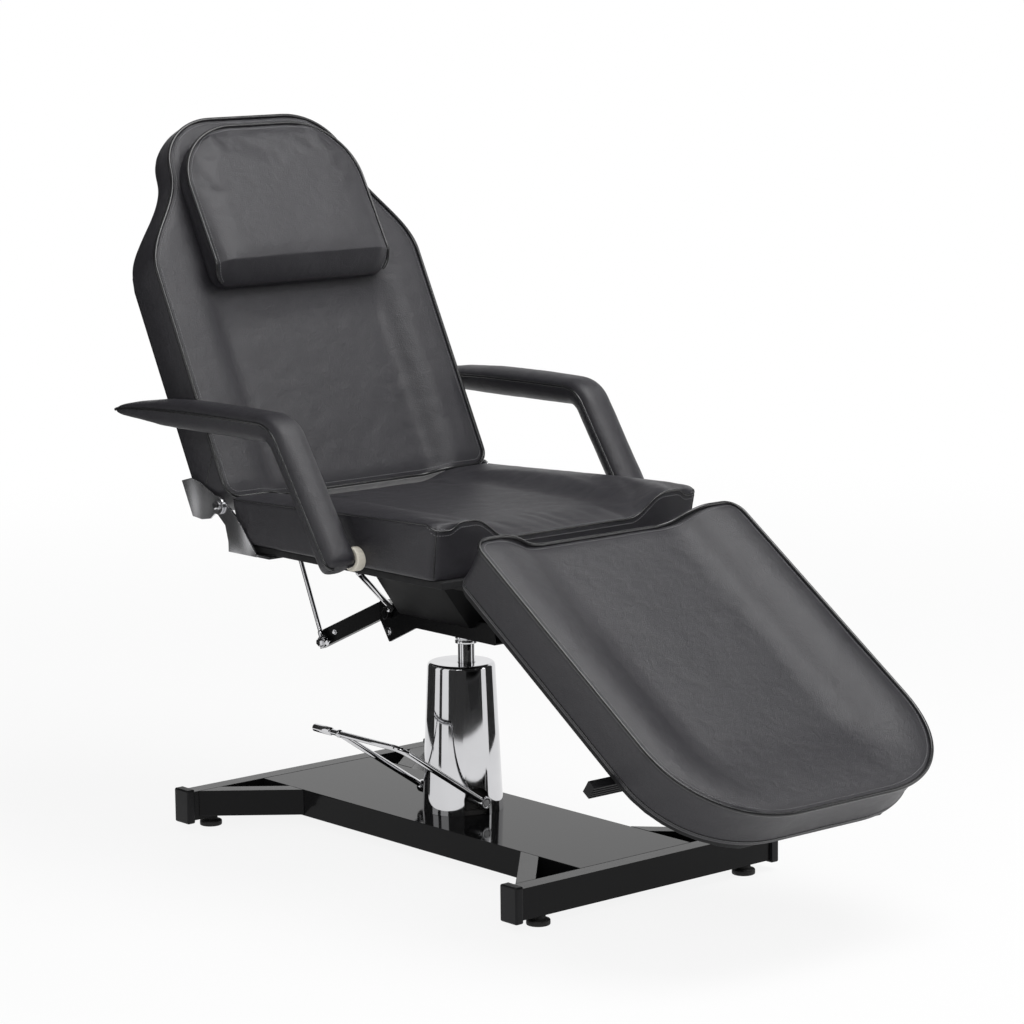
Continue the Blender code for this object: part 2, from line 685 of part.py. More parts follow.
# Pump: a cast body through the tray, with the cylinder, its gland and a bright cover on top
body_profile = [(BOSS_RADIUS, BAR_TOP - BOSS_DROP), (BOSS_RADIUS, BAR_TOP + GAP),
                (BODY_FLANGE_RADIUS, BAR_TOP + GAP), (BODY_FLANGE_RADIUS, BAR_TOP + BODY_FLANGE),
                (BODY_RADIUS, BAR_TOP + BODY_FLANGE), (BODY_RADIUS, BODY_TOP)]
pump_body = piece("pump_body", turned(body_profile, 32), base, CAST_IRON)
shaft_hole = rod((PEDAL_X, -BODY_FLANGE_RADIUS, PEDAL_Z), (PEDAL_X, BODY_FLANGE_RADIUS, PEDAL_Z),
                 PEDAL_SHAFT_RADIUS + RUN)
combine(pump_body, "DIFFERENCE", shaft_hole, base)
sweep = LOBE_LENGTH * math.sin(PEDAL_TRAVEL) + LOBE_HALF + LOBE_ROOM
pocket_half = LOBE_WIDTH / 2 + LOBE_ROOM
shaft_room = PEDAL_SHAFT_RADIUS + LOBE_ROOM
pocket = box(-BODY_FLANGE_RADIUS - LOBE_ROOM, PEDAL_X + shaft_room, -pocket_half, pocket_half,
             PEDAL_Z - sweep, PEDAL_Z + shaft_room)
combine(pump_body, "DIFFERENCE", pocket, base)
plunger_low = plunger_top - PLUNGER_LENGTH
plunger_hole = rod((plunger_x, 0, plunger_low - PLUNGER_STROKE - LOBE_ROOM), (plunger_x, 0, PEDAL_Z),
                   PLUNGER_RADIUS + RUN)
combine(pump_body, "DIFFERENCE", plunger_hole, base)

cylinder_low = BODY_TOP + GAP
cylinder_top = cylinder_low + CYLINDER_LENGTH
cylinder_ends = ((0, RAM_Y, cylinder_low), (0, RAM_Y, cylinder_top))
piece("pump_cylinder", washer(*cylinder_ends, CYLINDER_RADIUS, CYLINDER_BORE, 28), base, STEEL)
gland_low = cylinder_top + GAP
gland_ends = ((0, RAM_Y, gland_low), (0, RAM_Y, gland_low + GLAND_LENGTH))
piece("pump_gland", washer(*gland_ends, CYLINDER_RADIUS, RAM_RADIUS + RUN, 28), base, STEEL)
cover_low = BAR_TOP + GAP
cover_roof = COVER_TOP - COVER_WALL
cover_profile = [(COVER_TOP_RADIUS - COVER_WALL, cover_roof), (COVER_BOTTOM_RADIUS - COVER_WALL, cover_low),
                 (COVER_BOTTOM_RADIUS, cover_low), (COVER_TOP_RADIUS, COVER_TOP)]
cover = piece("pump_cover", turned(cover_profile, 40), base, CHROME)
ram_hole_ends = ((0, RAM_Y, cover_roof - COVER_WALL), (0, RAM_Y, COVER_TOP + COVER_WALL))
combine(cover, "DIFFERENCE", rod(*ram_hole_ends, RAM_RADIUS + COVER_WALL / 2, 24), base)
slot_half = COVER_SLOT_WIDTH / 2
slot_spring = BAR_TOP + COVER_SLOT_HEIGHT - slot_half
slot = [(PEDAL_X - slot_half, BAR_TOP - COVER_WALL), (PEDAL_X + slot_half, BAR_TOP - COVER_WALL)]
slot += arc(PEDAL_X, slot_spring, slot_half, 0, 180, 8)
slot_reach = 2 * COVER_BOTTOM_RADIUS
combine(cover, "DIFFERENCE", loft([[(x, y, z) for x, z in slot] for y in (-slot_reach, slot_reach)]), base)

# Plunger under the pedal's lobe
plunger_profile = [(PLUNGER_RADIUS, plunger_low), (PLUNGER_RADIUS, plunger_top - PLUNGER_RADIUS / 2),
                   (PLUNGER_RADIUS / 2, plunger_top)]
piece("pump_plunger", turned(plunger_profile, 16, (plunger_x, 0, 0)), plunger_body, STEEL)

# Pedal: a cross shaft with a lobe, and a bent rod with two arms and a foot bar
hub_out = PEDAL_ARM_Y + PEDAL_HUB / 2
shaft_ends = ((PEDAL_X, -hub_out, PEDAL_Z), (PEDAL_X, hub_out, PEDAL_Z))
shaft = piece("pedal_shaft", rod(*shaft_ends, PEDAL_SHAFT_RADIUS), pedal_body, STEEL)
lobe = box(PEDAL_X - LOBE_LENGTH, PEDAL_X, -LOBE_WIDTH / 2, LOBE_WIDTH / 2,
           PEDAL_Z - LOBE_HALF, PEDAL_Z + LOBE_HALF)
combine(shaft, "UNION", lobe, pedal_body)
bar_x = PEDAL_X - PEDAL_REACH
bar_height = PEDAL_Z + PEDAL_LIFT
arm_run = Vector((-PEDAL_REACH, 0, PEDAL_LIFT)).normalized()
arm_root = Vector((PEDAL_X, 0, PEDAL_Z)) + arm_run * (PEDAL_HUB_RADIUS + PEDAL_SHAFT_RADIUS) / 2
near = Vector((0, -PEDAL_ARM_Y, 0))
far = Vector((0, PEDAL_ARM_Y, 0))
bar_tip = Vector((bar_x, PEDAL_TIP_Y, bar_height))
foot_bar = rounded([arm_root + near, (bar_x, -PEDAL_ARM_Y, bar_height), bar_tip], PEDAL_BEND)
loop = piece("pedal_loop", swept(foot_bar, PEDAL_ROD_RADIUS, 12), pedal_body, CHROME)
second_arm = rod(arm_root + far, (bar_x, PEDAL_ARM_Y, bar_height), PEDAL_ROD_RADIUS, 12)
combine(loop, "UNION", second_arm, pedal_body)
grip_ends = (bar_tip - Vector((0, PEDAL_GRIP, 0)), bar_tip + Vector((0, PEDAL_ROD_RADIUS, 0)))
combine(loop, "UNION", rod(*grip_ends, PEDAL_GRIP_RADIUS, 14), pedal_body)
for arm_y in (-PEDAL_ARM_Y, PEDAL_ARM_Y):
    hub = washer((PEDAL_X, arm_y - PEDAL_HUB / 2, PEDAL_Z), (PEDAL_X, arm_y + PEDAL_HUB / 2, PEDAL_Z),
                 PEDAL_HUB_RADIUS, PEDAL_SHAFT_RADIUS + GAP)
    combine(loop, "UNION", hub, pedal_body)

# Ram with its piston, and the socket that the seat frame turns on
piston_low = BODY_TOP + PISTON_REST
piston_top = piston_low + PISTON_LENGTH
piston_ends = ((0, RAM_Y, piston_low), (0, RAM_Y, piston_top))
piece("ram_piston", rod(*piston_ends, CYLINDER_BORE - RUN, 28), ram_body, STEEL)
socket_top = BEAM_TOP - BEAM_WALL - GAP
socket_roof = socket_top - SOCKET_CROWN
ram_ends = ((0, RAM_Y, piston_top + GAP), (0, RAM_Y, socket_roof - GAP))
piece("ram", rod(*ram_ends, RAM_RADIUS, 24), ram_body, CHROME)
socket_profile = [(RAM_RADIUS + RUN, socket_roof), (RAM_RADIUS + RUN, SOCKET_BOTTOM),
                  (SOCKET_RADIUS, SOCKET_BOTTOM), (SOCKET_RADIUS, socket_top)]
piece("ram_socket", turned(socket_profile, 24, (0, RAM_Y, 0)), seat_body, BLACK_PAINT)

# Main beam, with the leg strut's lug at its front, a gusset under its rear and the lever's pin at its side
beam_tube = square_tube(0, BEAM_MIDDLE, BEAM_WIDTH, BEAM_HEIGHT, BEAM_WALL, BEAM_FRONT_Y, BEAM_REAR_Y)
beam = piece("main_beam", beam_tube, seat_body, BLACK_PAINT)
socket_hole = rod((0, RAM_Y, BEAM_BOTTOM - BEAM_WALL), (0, RAM_Y, BEAM_MIDDLE), SOCKET_RADIUS + GAP, 24)
combine(beam, "DIFFERENCE", socket_hole, seat_body)
lug_high = BEAM_TOP - BEAM_WALL / 2
lug_low = BEAM_BOTTOM + BEAM_WALL / 2
lug_eye = arc(LEG_STRUT_FOOT.y, LEG_STRUT_FOOT.z, STRUT_EYE_RADIUS + LUG_SHEET / 2, 90, 270, 8)
lug = [(BEAM_FRONT_Y + LUG_BASE_HALF, lug_high), (BEAM_FRONT_Y, lug_high)] + lug_eye
lug += [(BEAM_FRONT_Y, lug_low), (BEAM_FRONT_Y + LUG_BASE_HALF, lug_low)]
lug_face = LEG_STRUT_X - STRUT_EYE / 2 - GAP
combine(beam, "UNION", prism(lug, lug_face - LUG_SHEET, lug_face), seat_body)
lug_pin = rod((lug_face - LUG_SHEET / 2, LEG_STRUT_FOOT.y, LEG_STRUT_FOOT.z),
              (LEG_STRUT_X + STRUT_EYE / 2, LEG_STRUT_FOOT.y, LEG_STRUT_FOOT.z), STRUT_PIN_RADIUS)
combine(beam, "UNION", lug_pin, seat_body)
gusset_top = BEAM_BOTTOM + BEAM_WALL / 2
gusset = [(BEAM_REAR_Y, gusset_top), (BEAM_REAR_Y - GUSSET_LENGTH, gusset_top)]
gusset_y = BEAM_REAR_Y - GUSSET_LENGTH / 4
gusset += arc(gusset_y, BEAM_BOTTOM - GUSSET_DEPTH + BEAM_WALL, BEAM_WALL, 225, 315, 3)
combine(beam, "UNION", prism(gusset, -BEAM_WIDTH / 2, -BEAM_WIDTH / 2 + GUSSET_SHEET), seat_body)
lever_pin = rod((-BEAM_WIDTH / 2 + BEAM_WALL / 2, LEVER_Y, BEAM_MIDDLE),
                (lever_x - LEVER_HUB / 2 - RUN, LEVER_Y, BEAM_MIDDLE), LEVER_RADIUS)
combine(beam, "UNION", lever_pin, seat_body)

# Rear arm: a flat bar from the beam's end, down and aside to the back strut's foot
arm_face = STRUT_X + STRUT_EYE / 2 + GAP
arm_start = -BEAM_WIDTH / 2 + ARM_BAR_WIDTH / 2
arm_stop = arm_face + ARM_BAR_WIDTH / 2
arm_end_y = STRUT_FOOT.y + ARM_BAR_HEIGHT / 2
arm_faces = ((arm_start, BEAM_REAR_Y + GAP, BEAM_MIDDLE), (arm_stop, arm_end_y, STRUT_FOOT.z))
corner = [(i * ARM_BAR_WIDTH / 2, j * ARM_BAR_HEIGHT / 2) for i, j in signs]
rear_arm_rings = [[(x + dx, y, z + dz) for dx, dz in corner] for x, y, z in arm_faces]
rear_arm = piece("rear_arm", loft(rear_arm_rings), seat_body, BLACK_PAINT)
bolt_out_x = STRUT_X - STRUT_EYE / 2 - GAP
bolt_in = Vector((arm_stop + ARM_BAR_WIDTH, STRUT_FOOT.y, STRUT_FOOT.z))
bolt_out = Vector((bolt_out_x, STRUT_FOOT.y, STRUT_FOOT.z))
bolt_end = Vector((bolt_out_x - BOLT_HEAD, STRUT_FOOT.y, STRUT_FOOT.z))
combine(rear_arm, "DIFFERENCE", rod(bolt_in, bolt_out, STRUT_PIN_RADIUS + GAP), seat_body)
bolt = piece("back_strut_bolt", rod(bolt_in, bolt_out, STRUT_PIN_RADIUS), seat_body, CHROME)
combine(bolt, "UNION", rod(bolt_out, bolt_end, BOLT_HEAD_RADIUS, 6), seat_body)

# Seat bracket: a folded steel funnel astride the beam, carrying the two rails
foot_z = BEAM_TOP - BRACKET_LAP
head_z = BEAM_TOP + BRACKET_HEIGHT


def funnel(inset):
    foot, head = BRACKET_FOOT_HALF - inset, BRACKET_TOP_HALF - inset
    low = [(-foot, BRACKET_FOOT_FRONT_Y + inset), (foot, BRACKET_FOOT_FRONT_Y + inset),
           (foot, BRACKET_FOOT_REAR_Y - inset), (-foot, BRACKET_FOOT_REAR_Y - inset)]
    high = [(-head, BRACKET_TOP_FRONT_Y + inset), (head, BRACKET_TOP_FRONT_Y + inset),
            (head, BRACKET_TOP_REAR_Y - inset), (-head, BRACKET_TOP_REAR_Y - inset)]
    return [(x, y, foot_z) for x, y in low], [(x, y, head_z) for x, y in high]


outer_low, outer_high = funnel(0)
inner_low, inner_high = funnel(BRACKET_SHEET)
bracket_shape = loft([outer_low, outer_high, inner_high, inner_low], closed=True)
bracket = piece("seat_bracket", bracket_shape, seat_body, BLACK_PAINT)
saddle_half = BEAM_WIDTH / 2 + GAP
saddle = box(-saddle_half, saddle_half, 2 * BRACKET_TOP_FRONT_Y, 2 * BRACKET_FOOT_REAR_Y,
             BEAM_BOTTOM, BEAM_TOP + GAP)
combine(bracket, "DIFFERENCE", saddle, seat_body)

rail_front = LEG_HINGE.y - RAIL_NOSE
rail_z = RAIL_BOTTOM + RAIL_SIZE / 2
board_half = SEAT_HALF - BOARD_INSET
for side, sign in (("right", -1), ("left", 1)):
    rail_tube = square_tube(sign * RAIL_X, rail_z, RAIL_SIZE, RAIL_SIZE, RAIL_WALL, rail_front, RAIL_REAR_Y)
    rail = piece(f"seat_rail_{side}", rail_tube, seat_body, BLACK_PAINT)
    pin_hole = rod((sign * (RAIL_X - RAIL_SIZE), LEG_HINGE.y, LEG_HINGE.z),
                   (sign * (RAIL_X + RAIL_SIZE), LEG_HINGE.y, LEG_HINGE.z), LEG_PIN_RADIUS + RUN)
    combine(rail, "DIFFERENCE", pin_hole, seat_body)

# Seat: a plywood board on the rails, and the pad on the board
board_front = SEAT_FRONT_Y - SEAT_FRONT_RAKE + BOARD_INSET
board_rear = SEAT_REAR_Y - SEAT_REAR_RAKE - BOARD_INSET
seat_board = box(-board_half, board_half, board_front, board_rear, BOARD_BOTTOM, BOARD_TOP)
piece("seat_board", seat_board, seat_body, WRAPPED_BOARD)
seat_length = SEAT_REAR_Y - SEAT_FRONT_Y


def seat_front(share, y):
    inward = (1 - abs(share)) * SEAT_HALF
    ends = min(y - SEAT_FRONT_Y, SEAT_REAR_Y - y)
    rear_share = (y - SEAT_FRONT_Y) / seat_length
    edge = SEAT_EDGE_FRONT + (SEAT_EDGE_REAR - SEAT_EDGE_FRONT) * rear_share
    rise = PAD_CREST * min(crest(inward), crest(ends))
    return BOARD_TOP + edge + rise - (edge + PAD_CREST - SEAT_MIDDLE) * dip(inward)


def seat_place(x, y, z):
    """The pad's two ends lean: lower down, the rear end runs forward to clear the turning back."""
    depth = (BOARD_TOP + SEAT_EDGE_FRONT - z) / SEAT_EDGE_FRONT
    if y > 0:
        y -= SEAT_REAR_RAKE * depth * y / SEAT_REAR_Y
    else:
        y -= SEAT_FRONT_RAKE * depth * y / SEAT_FRONT_Y
    return (x, y, z)


def seat_half(y):
    return corner_width(SEAT_HALF, 2 * min(y - SEAT_FRONT_Y, SEAT_REAR_Y - y))


edge_marks = (0, 0.004, 0.012, PAD_CREST_IN)
seat_rows = [SEAT_FRONT_Y + mark for mark in edge_marks]
seat_rows += [SEAT_FRONT_Y + seat_length * k / 6 for k in range(1, 6)]
seat_rows += [SEAT_REAR_Y - mark for mark in reversed(edge_marks)]
seat_columns = pad_columns(SEAT_HALF)
seat_shape = cushion(seat_rows, seat_columns, seat_half, seat_front, lambda y: SEAT_BOTTOM, seat_place)
seat_pad = piece("seat_pad", seat_shape, seat_body, LEATHER)


# Back: a board and its pad, wide at the seat, narrow at the head and thinner there
back_end = BACK_START + BACK_LENGTH


def back_half(s):
    if s < SHOULDER_START:
        return corner_width(BACK_HALF, s - BACK_START)
    into_shoulder = (s - SHOULDER_START) / (SHOULDER_END - SHOULDER_START)
    width = BACK_HALF - (BACK_HALF - HEAD_HALF) * ease(into_shoulder)
    into = max((s - back_end + HEAD_CORNER) / HEAD_CORNER, 0)
    return HEAD_TOP_HALF + (width - HEAD_TOP_HALF) * math.sqrt(max(1 - into**2, 0))


def back_front(share, s):
    inward = (1 - abs(share)) * BACK_HALF
    ends = min(s - BACK_START, back_end - s)
    fade = 1 - ease((s - PILLOW_FOOT + PAD_ROLL_END / 2) / PAD_ROLL_END)
    return BACK_FRONT + PAD_CREST * min(crest(inward), crest(ends)) - BACK_DIP * fade * dip(inward)


def back_bottom(s):
    head = BACK_FRONT - HEAD_THICKNESS
    return back_low + (head - back_low) * ease((s - HEAD_START) / (HEAD_END - HEAD_START))


corner_marks = [PAD_CORNER * share for share in PAD_CORNER_SHARES]
back_rows = [BACK_START + mark for mark in corner_marks]
back_rows += [SHOULDER_START * k / 6 for k in range(1, 7)]
back_rows += [SHOULDER_START + (SHOULDER_END - SHOULDER_START) * k / 7 for k in range(1, 7)]
back_rows += [back_end - HEAD_CORNER + HEAD_CORNER * math.sin(math.pi / 2 * k / 5) for k in range(6)]
board_high = BACK_REAR + BOARD
back_low = board_high + GAP
back_columns = pad_columns(BACK_HALF)
back_shape = cushion(back_rows, back_columns, back_half, back_front, back_bottom, on_back, -BACK_FLARE)
piece("back_pad", back_shape, back_body, LEATHER)
back_board_rows = [s for s in back_rows if BACK_START + BOARD_INSET < s < HEAD_START]
back_board = board(back_board_rows, back_half, BACK_REAR, board_high, on_back)
piece("back_board", back_board, back_body, WRAPPED_BOARD)

# Hinge between seat and back: on each side a plate under the seat, a plate behind the back, and a bolt
seat_plate_x = PLATE_X
back_plate_x = PLATE_X + PLATE + GAP
hinge_y, hinge_z = BACK_HINGE.y, BACK_HINGE.z
flange_low = BOARD_BOTTOM - GAP - PLATE_FLANGE
plate_foot_front = hinge_y - PLATE_FOOT
plate_foot_rear = hinge_y - PLATE_EYE - BOLT_HEAD_RADIUS
seat_plate = arc(hinge_y, hinge_z, PLATE_EYE, -60, 150, 8)
seat_plate += [(hinge_y + y, hinge_z + z) for y, z in SEAT_PLATE_NECK] + [(plate_foot_front, BOARD_BOTTOM)]
seat_plate += [(plate_foot_front, flange_low), (plate_foot_rear, flange_low),
               (plate_foot_rear, BOARD_BOTTOM + BOARD), (hinge_y - PLATE_EYE, hinge_z - 2 * PLATE_EYE)]
back_plate = arc(0, 0, PLATE_EYE, 230, 10, 8) + list(BACK_PLATE_ARM)
plate_outline = [(on_back(0, s, out).y, on_back(0, s, out).z) for s, out in back_plate]
bolt_point = (hinge_y, hinge_z)
for side, sign in (("right", -1), ("left", 1)):
    spread = sorted((sign * seat_plate_x, sign * (seat_plate_x + PLATE)))
    plate = piece(f"seat_hinge_plate_{side}", prism(seat_plate, *spread), seat_body, CHROME)
    flange_x = sorted((sign * PLATE_FLANGE_IN, sign * (seat_plate_x + PLATE / 2)))
    flange_front = plate_foot_front - 2 * PLATE_EYE
    flange = box(*flange_x, flange_front, plate_foot_rear, flange_low, flange_low + PLATE_FLANGE)
    combine(plate, "UNION", flange, seat_body)
    hole_in = (sign * (PLATE_X - PLATE), *bolt_point)
    hole_out = (sign * (back_plate_x + 2 * PLATE), *bolt_point)
    bolt_hole = HINGE_BOLT_RADIUS + RUN
    combine(plate, "DIFFERENCE", rod(hole_in, hole_out, bolt_hole), seat_body)

    spread = sorted((sign * back_plate_x, sign * (back_plate_x + PLATE)))
    plate = piece(f"back_hinge_plate_{side}", prism(plate_outline, *spread), back_body, CHROME)
    flange_x = sorted((sign * PLATE_FLANGE_IN, sign * (back_plate_x + PLATE / 2)))
    rear = BACK_REAR - GAP
    flange_outline = ((PLATE_FLANGE_LOW, rear), (PLATE_FLANGE_HIGH, rear),
                      (PLATE_FLANGE_HIGH, rear - PLATE_FLANGE), (PLATE_FLANGE_LOW, rear - PLATE_FLANGE))
    flange = loft([[on_back(x, s, out) for s, out in flange_outline] for x in flange_x])
    combine(plate, "UNION", flange, back_body)
    combine(plate, "DIFFERENCE", rod(hole_in, hole_out, bolt_hole), back_body)

    nut_x = PLATE_X - GAP
    head_x = back_plate_x + PLATE + GAP
    bolt_in = (sign * (nut_x - HINGE_NUT), *bolt_point)
    bolt_out = (sign * (head_x + BOLT_HEAD), *bolt_point)
    bolt = piece(f"back_hinge_bolt_{side}", rod(bolt_in, bolt_out, HINGE_BOLT_RADIUS), back_body, CHROME)
    nut = rod(bolt_in, (sign * nut_x, *bolt_point), HINGE_NUT_RADIUS, 6)
    combine(bolt, "UNION", nut, back_body)
    head = rod((sign * head_x, *bolt_point), bolt_out, BOLT_HEAD_RADIUS, 6)
    combine(bolt, "UNION", head, back_body)


# Pillow: a wedge that is thick over its folded foot and thin at its round top
pillow_end = PILLOW_FOOT + PILLOW_LENGTH
pillow_rear = BACK_FRONT + PAD_CREST + GAP


def pillow_half(s):
    start = corner_width(PILLOW_HALF, s - PILLOW_FOOT)
    into = max((s - pillow_end + PILLOW_ROUND) / PILLOW_ROUND, 0)
    return PILLOW_TOP_HALF + (start - PILLOW_TOP_HALF) * math.sqrt(max(1 - into**2, 0))


def pillow_front(share, s):
    up = s - PILLOW_FOOT
    if up < PILLOW_FOLD:
        fold = math.sin(math.pi / 2 * up / PILLOW_FOLD)
        thick = PILLOW_THICK * (PILLOW_FOOT_SHARE + (1 - PILLOW_FOOT_SHARE) * fold)
    else:
        above = (up - PILLOW_FOLD) / (PILLOW_LENGTH - PILLOW_FOLD)
        thick = PILLOW_THICK + (PILLOW_TOP_THICK - PILLOW_THICK) * above
    inward = min((1 - abs(share)) * PILLOW_HALF, pillow_end - s)
    return pillow_rear + thick * (PILLOW_EDGE_SHARE + (1 - PILLOW_EDGE_SHARE) * crest(inward))


pillow_rows = [PILLOW_FOOT + PILLOW_FOLD * k for k in (0, 0.15, 0.4, 0.7, 1, 1.3)]
pillow_rows += [PILLOW_FOOT + (PILLOW_LENGTH - PILLOW_ROUND) * k for k in (0.6, 0.8)]
pillow_rows += [pillow_end - PILLOW_ROUND + PILLOW_ROUND * math.sin(math.pi / 2 * k / 5) for k in range(6)]
pillow_shape = cushion(pillow_rows, PILLOW_COLUMNS, pillow_half, pillow_front, lambda s: pillow_rear, on_back)
piece("pillow", pillow_shape, pillow_body, LEATHER)

# Leg rest: a board and its pad, hung on two straps whose pins turn in the rails
leg_end = LEG_START + LEG_LENGTH


def leg_half(t):
    start = corner_width(LEG_HALF, t - LEG_START)
    into = max((t - leg_end + LEG_ROUND) / LEG_ROUND, 0)
    return LEG_END_HALF + (start - LEG_END_HALF) * math.sqrt(max(1 - into**LEG_ROUND_POWER, 0))


def leg_front(share, t):
    inward = (1 - abs(share)) * LEG_HALF
    ends = min(t - LEG_START, leg_end - t)
    fade = 1 - ease((t - leg_end + LEG_FADE) / LEG_FADE)
    return LEG_FRONT + PAD_CREST * min(crest(inward), crest(ends)) - LEG_DIP * fade * dip(inward)


def leg_place(x, along, out):
    """The pad's end leans: it is shorter behind than in front."""
    depth = (LEG_FRONT - out) / LEG_THICKNESS
    return on_leg(x, along - LEG_END_RAKE * depth * (max(along, 0) / leg_end) ** 2, out)


leg_rows = [LEG_START + mark for mark in corner_marks]
leg_rows += [LEG_START + (LEG_LENGTH - LEG_ROUND) * k / 5 for k in range(1, 5)]
leg_rows += [leg_end - LEG_ROUND + LEG_ROUND * math.sin(math.pi / 2 * k / 9) for k in range(10)]
leg_board_high = LEG_REAR + BOARD
leg_low = leg_board_high + GAP
leg_shape = cushion(leg_rows, pad_columns(LEG_HALF), leg_half, leg_front, lambda t: leg_low, leg_place)
piece("leg_pad", leg_shape, leg_body, LEATHER)
leg_board_rows = [t for t in leg_rows if LEG_START + BOARD_INSET < t < leg_end - BOARD_INSET]
leg_board = board(leg_board_rows, leg_half, LEG_REAR, leg_board_high, leg_place)
piece("leg_board", leg_board, leg_body, WRAPPED_BOARD)

strap_x = RAIL_X + RAIL_SIZE / 2 + 2 * GAP
strap_top = LEG_REAR - GAP
strap = arc(0, 0, STRAP_EYE, 90, 270, 8)
strap += [(STRAP_LENGTH, strap_top - LEG_BAR_DEPTH), (STRAP_LENGTH, strap_top), (STRAP_EYE, strap_top)]
for side, sign in (("right", -1), ("left", 1)):
    faces = [[on_leg(sign * x, t, out) for t, out in strap] for x in (strap_x, strap_x + STRAP)]
    leg_strap = piece(f"leg_strap_{side}", loft(faces), leg_body, BLACK_PAINT)
    pin = rod((sign * (RAIL_X - RAIL_SIZE), LEG_HINGE.y, LEG_HINGE.z),
              (sign * (strap_x + STRAP / 2), LEG_HINGE.y, LEG_HINGE.z), LEG_PIN_RADIUS)
    combine(leg_strap, "UNION", pin, leg_body)

bar_near = STRAP_LENGTH + GAP
bar_far = bar_near + LEG_BAR_WIDTH
bar_outline = [(bar_near, strap_top), (bar_far, strap_top), (bar_far, strap_top - LEG_BAR_DEPTH),
               (bar_near, strap_top - LEG_BAR_DEPTH)]
bar_ends = [[on_leg(x, t, out) for t, out in bar_outline] for x in (-LEG_BAR_HALF, LEG_BAR_HALF)]
piece("leg_bar", loft(bar_ends), leg_body, BLACK_PLASTIC)


# Arms: a padded elbow turning on a stud that stands on the seat board inside the pad
elbow = Vector((ARM_ELBOW_Y, ARM_PIVOT_Z + ARM_TOP_RISE))
foot_run = (Vector((ARM_PIVOT_Y, ARM_PIVOT_Z)) - elbow).normalized()
turn = math.acos(-foot_run.x)
tangent = ARM_ELBOW_RADIUS * math.tan(turn / 2)


def arm_rings(middle_x):
    """Rings along the arm: from its thin tip, level to the elbow, round it and down past the pivot."""
    level = elbow.y
    arm_length = ARM_TIP_Y - elbow.x - tangent
    spots = []
    for share, wide, deep, droop in ARM_TIP_RINGS:
        spot = Vector((ARM_TIP_Y - share * arm_length, level - droop * ARM_DROOP))
        spots.append((spot, Vector((0, 1)), wide, deep))
    centre = Vector((elbow.x + tangent, level - ARM_ELBOW_RADIUS))
    for k in range(ARM_ELBOW_STEPS + 1):
        angle = math.pi / 2 + turn * k / ARM_ELBOW_STEPS
        out = Vector((math.cos(angle), math.sin(angle)))
        spots.append((centre + out * ARM_ELBOW_RADIUS, out, 1, 1))
    out = Vector((foot_run.y, -foot_run.x))
    pivot = Vector((ARM_PIVOT_Y, ARM_PIVOT_Z))
    leg_run = (pivot - elbow).length - tangent
    for share, wide, deep in ARM_LEG_RINGS:
        spots.append((elbow + foot_run * (tangent + leg_run * share), out, wide, deep))
    for share, wide, deep in ARM_FOOT_RINGS:
        spots.append((pivot + foot_run * ARM_FOOT_ROUND * share, out, wide, deep))
    rings = []
    for spot, out, wide, deep in spots:
        ring = []
        for k in range(ARM_SIDES):
            angle = 2 * math.pi * k / ARM_SIDES
            c, s = math.cos(angle), math.sin(angle)
            across = math.copysign(abs(c) ** ARM_FLAT_SIDE, c) * ARM_HALF_WIDTH * wide
            up = math.copysign(abs(s) ** ARM_FLAT_TOP, s) * ARM_HALF_DEPTH * deep
            ring.append((middle_x + across, spot.x + out.x * up, spot.y + out.y * up))
        rings.append(ring)
    return rings


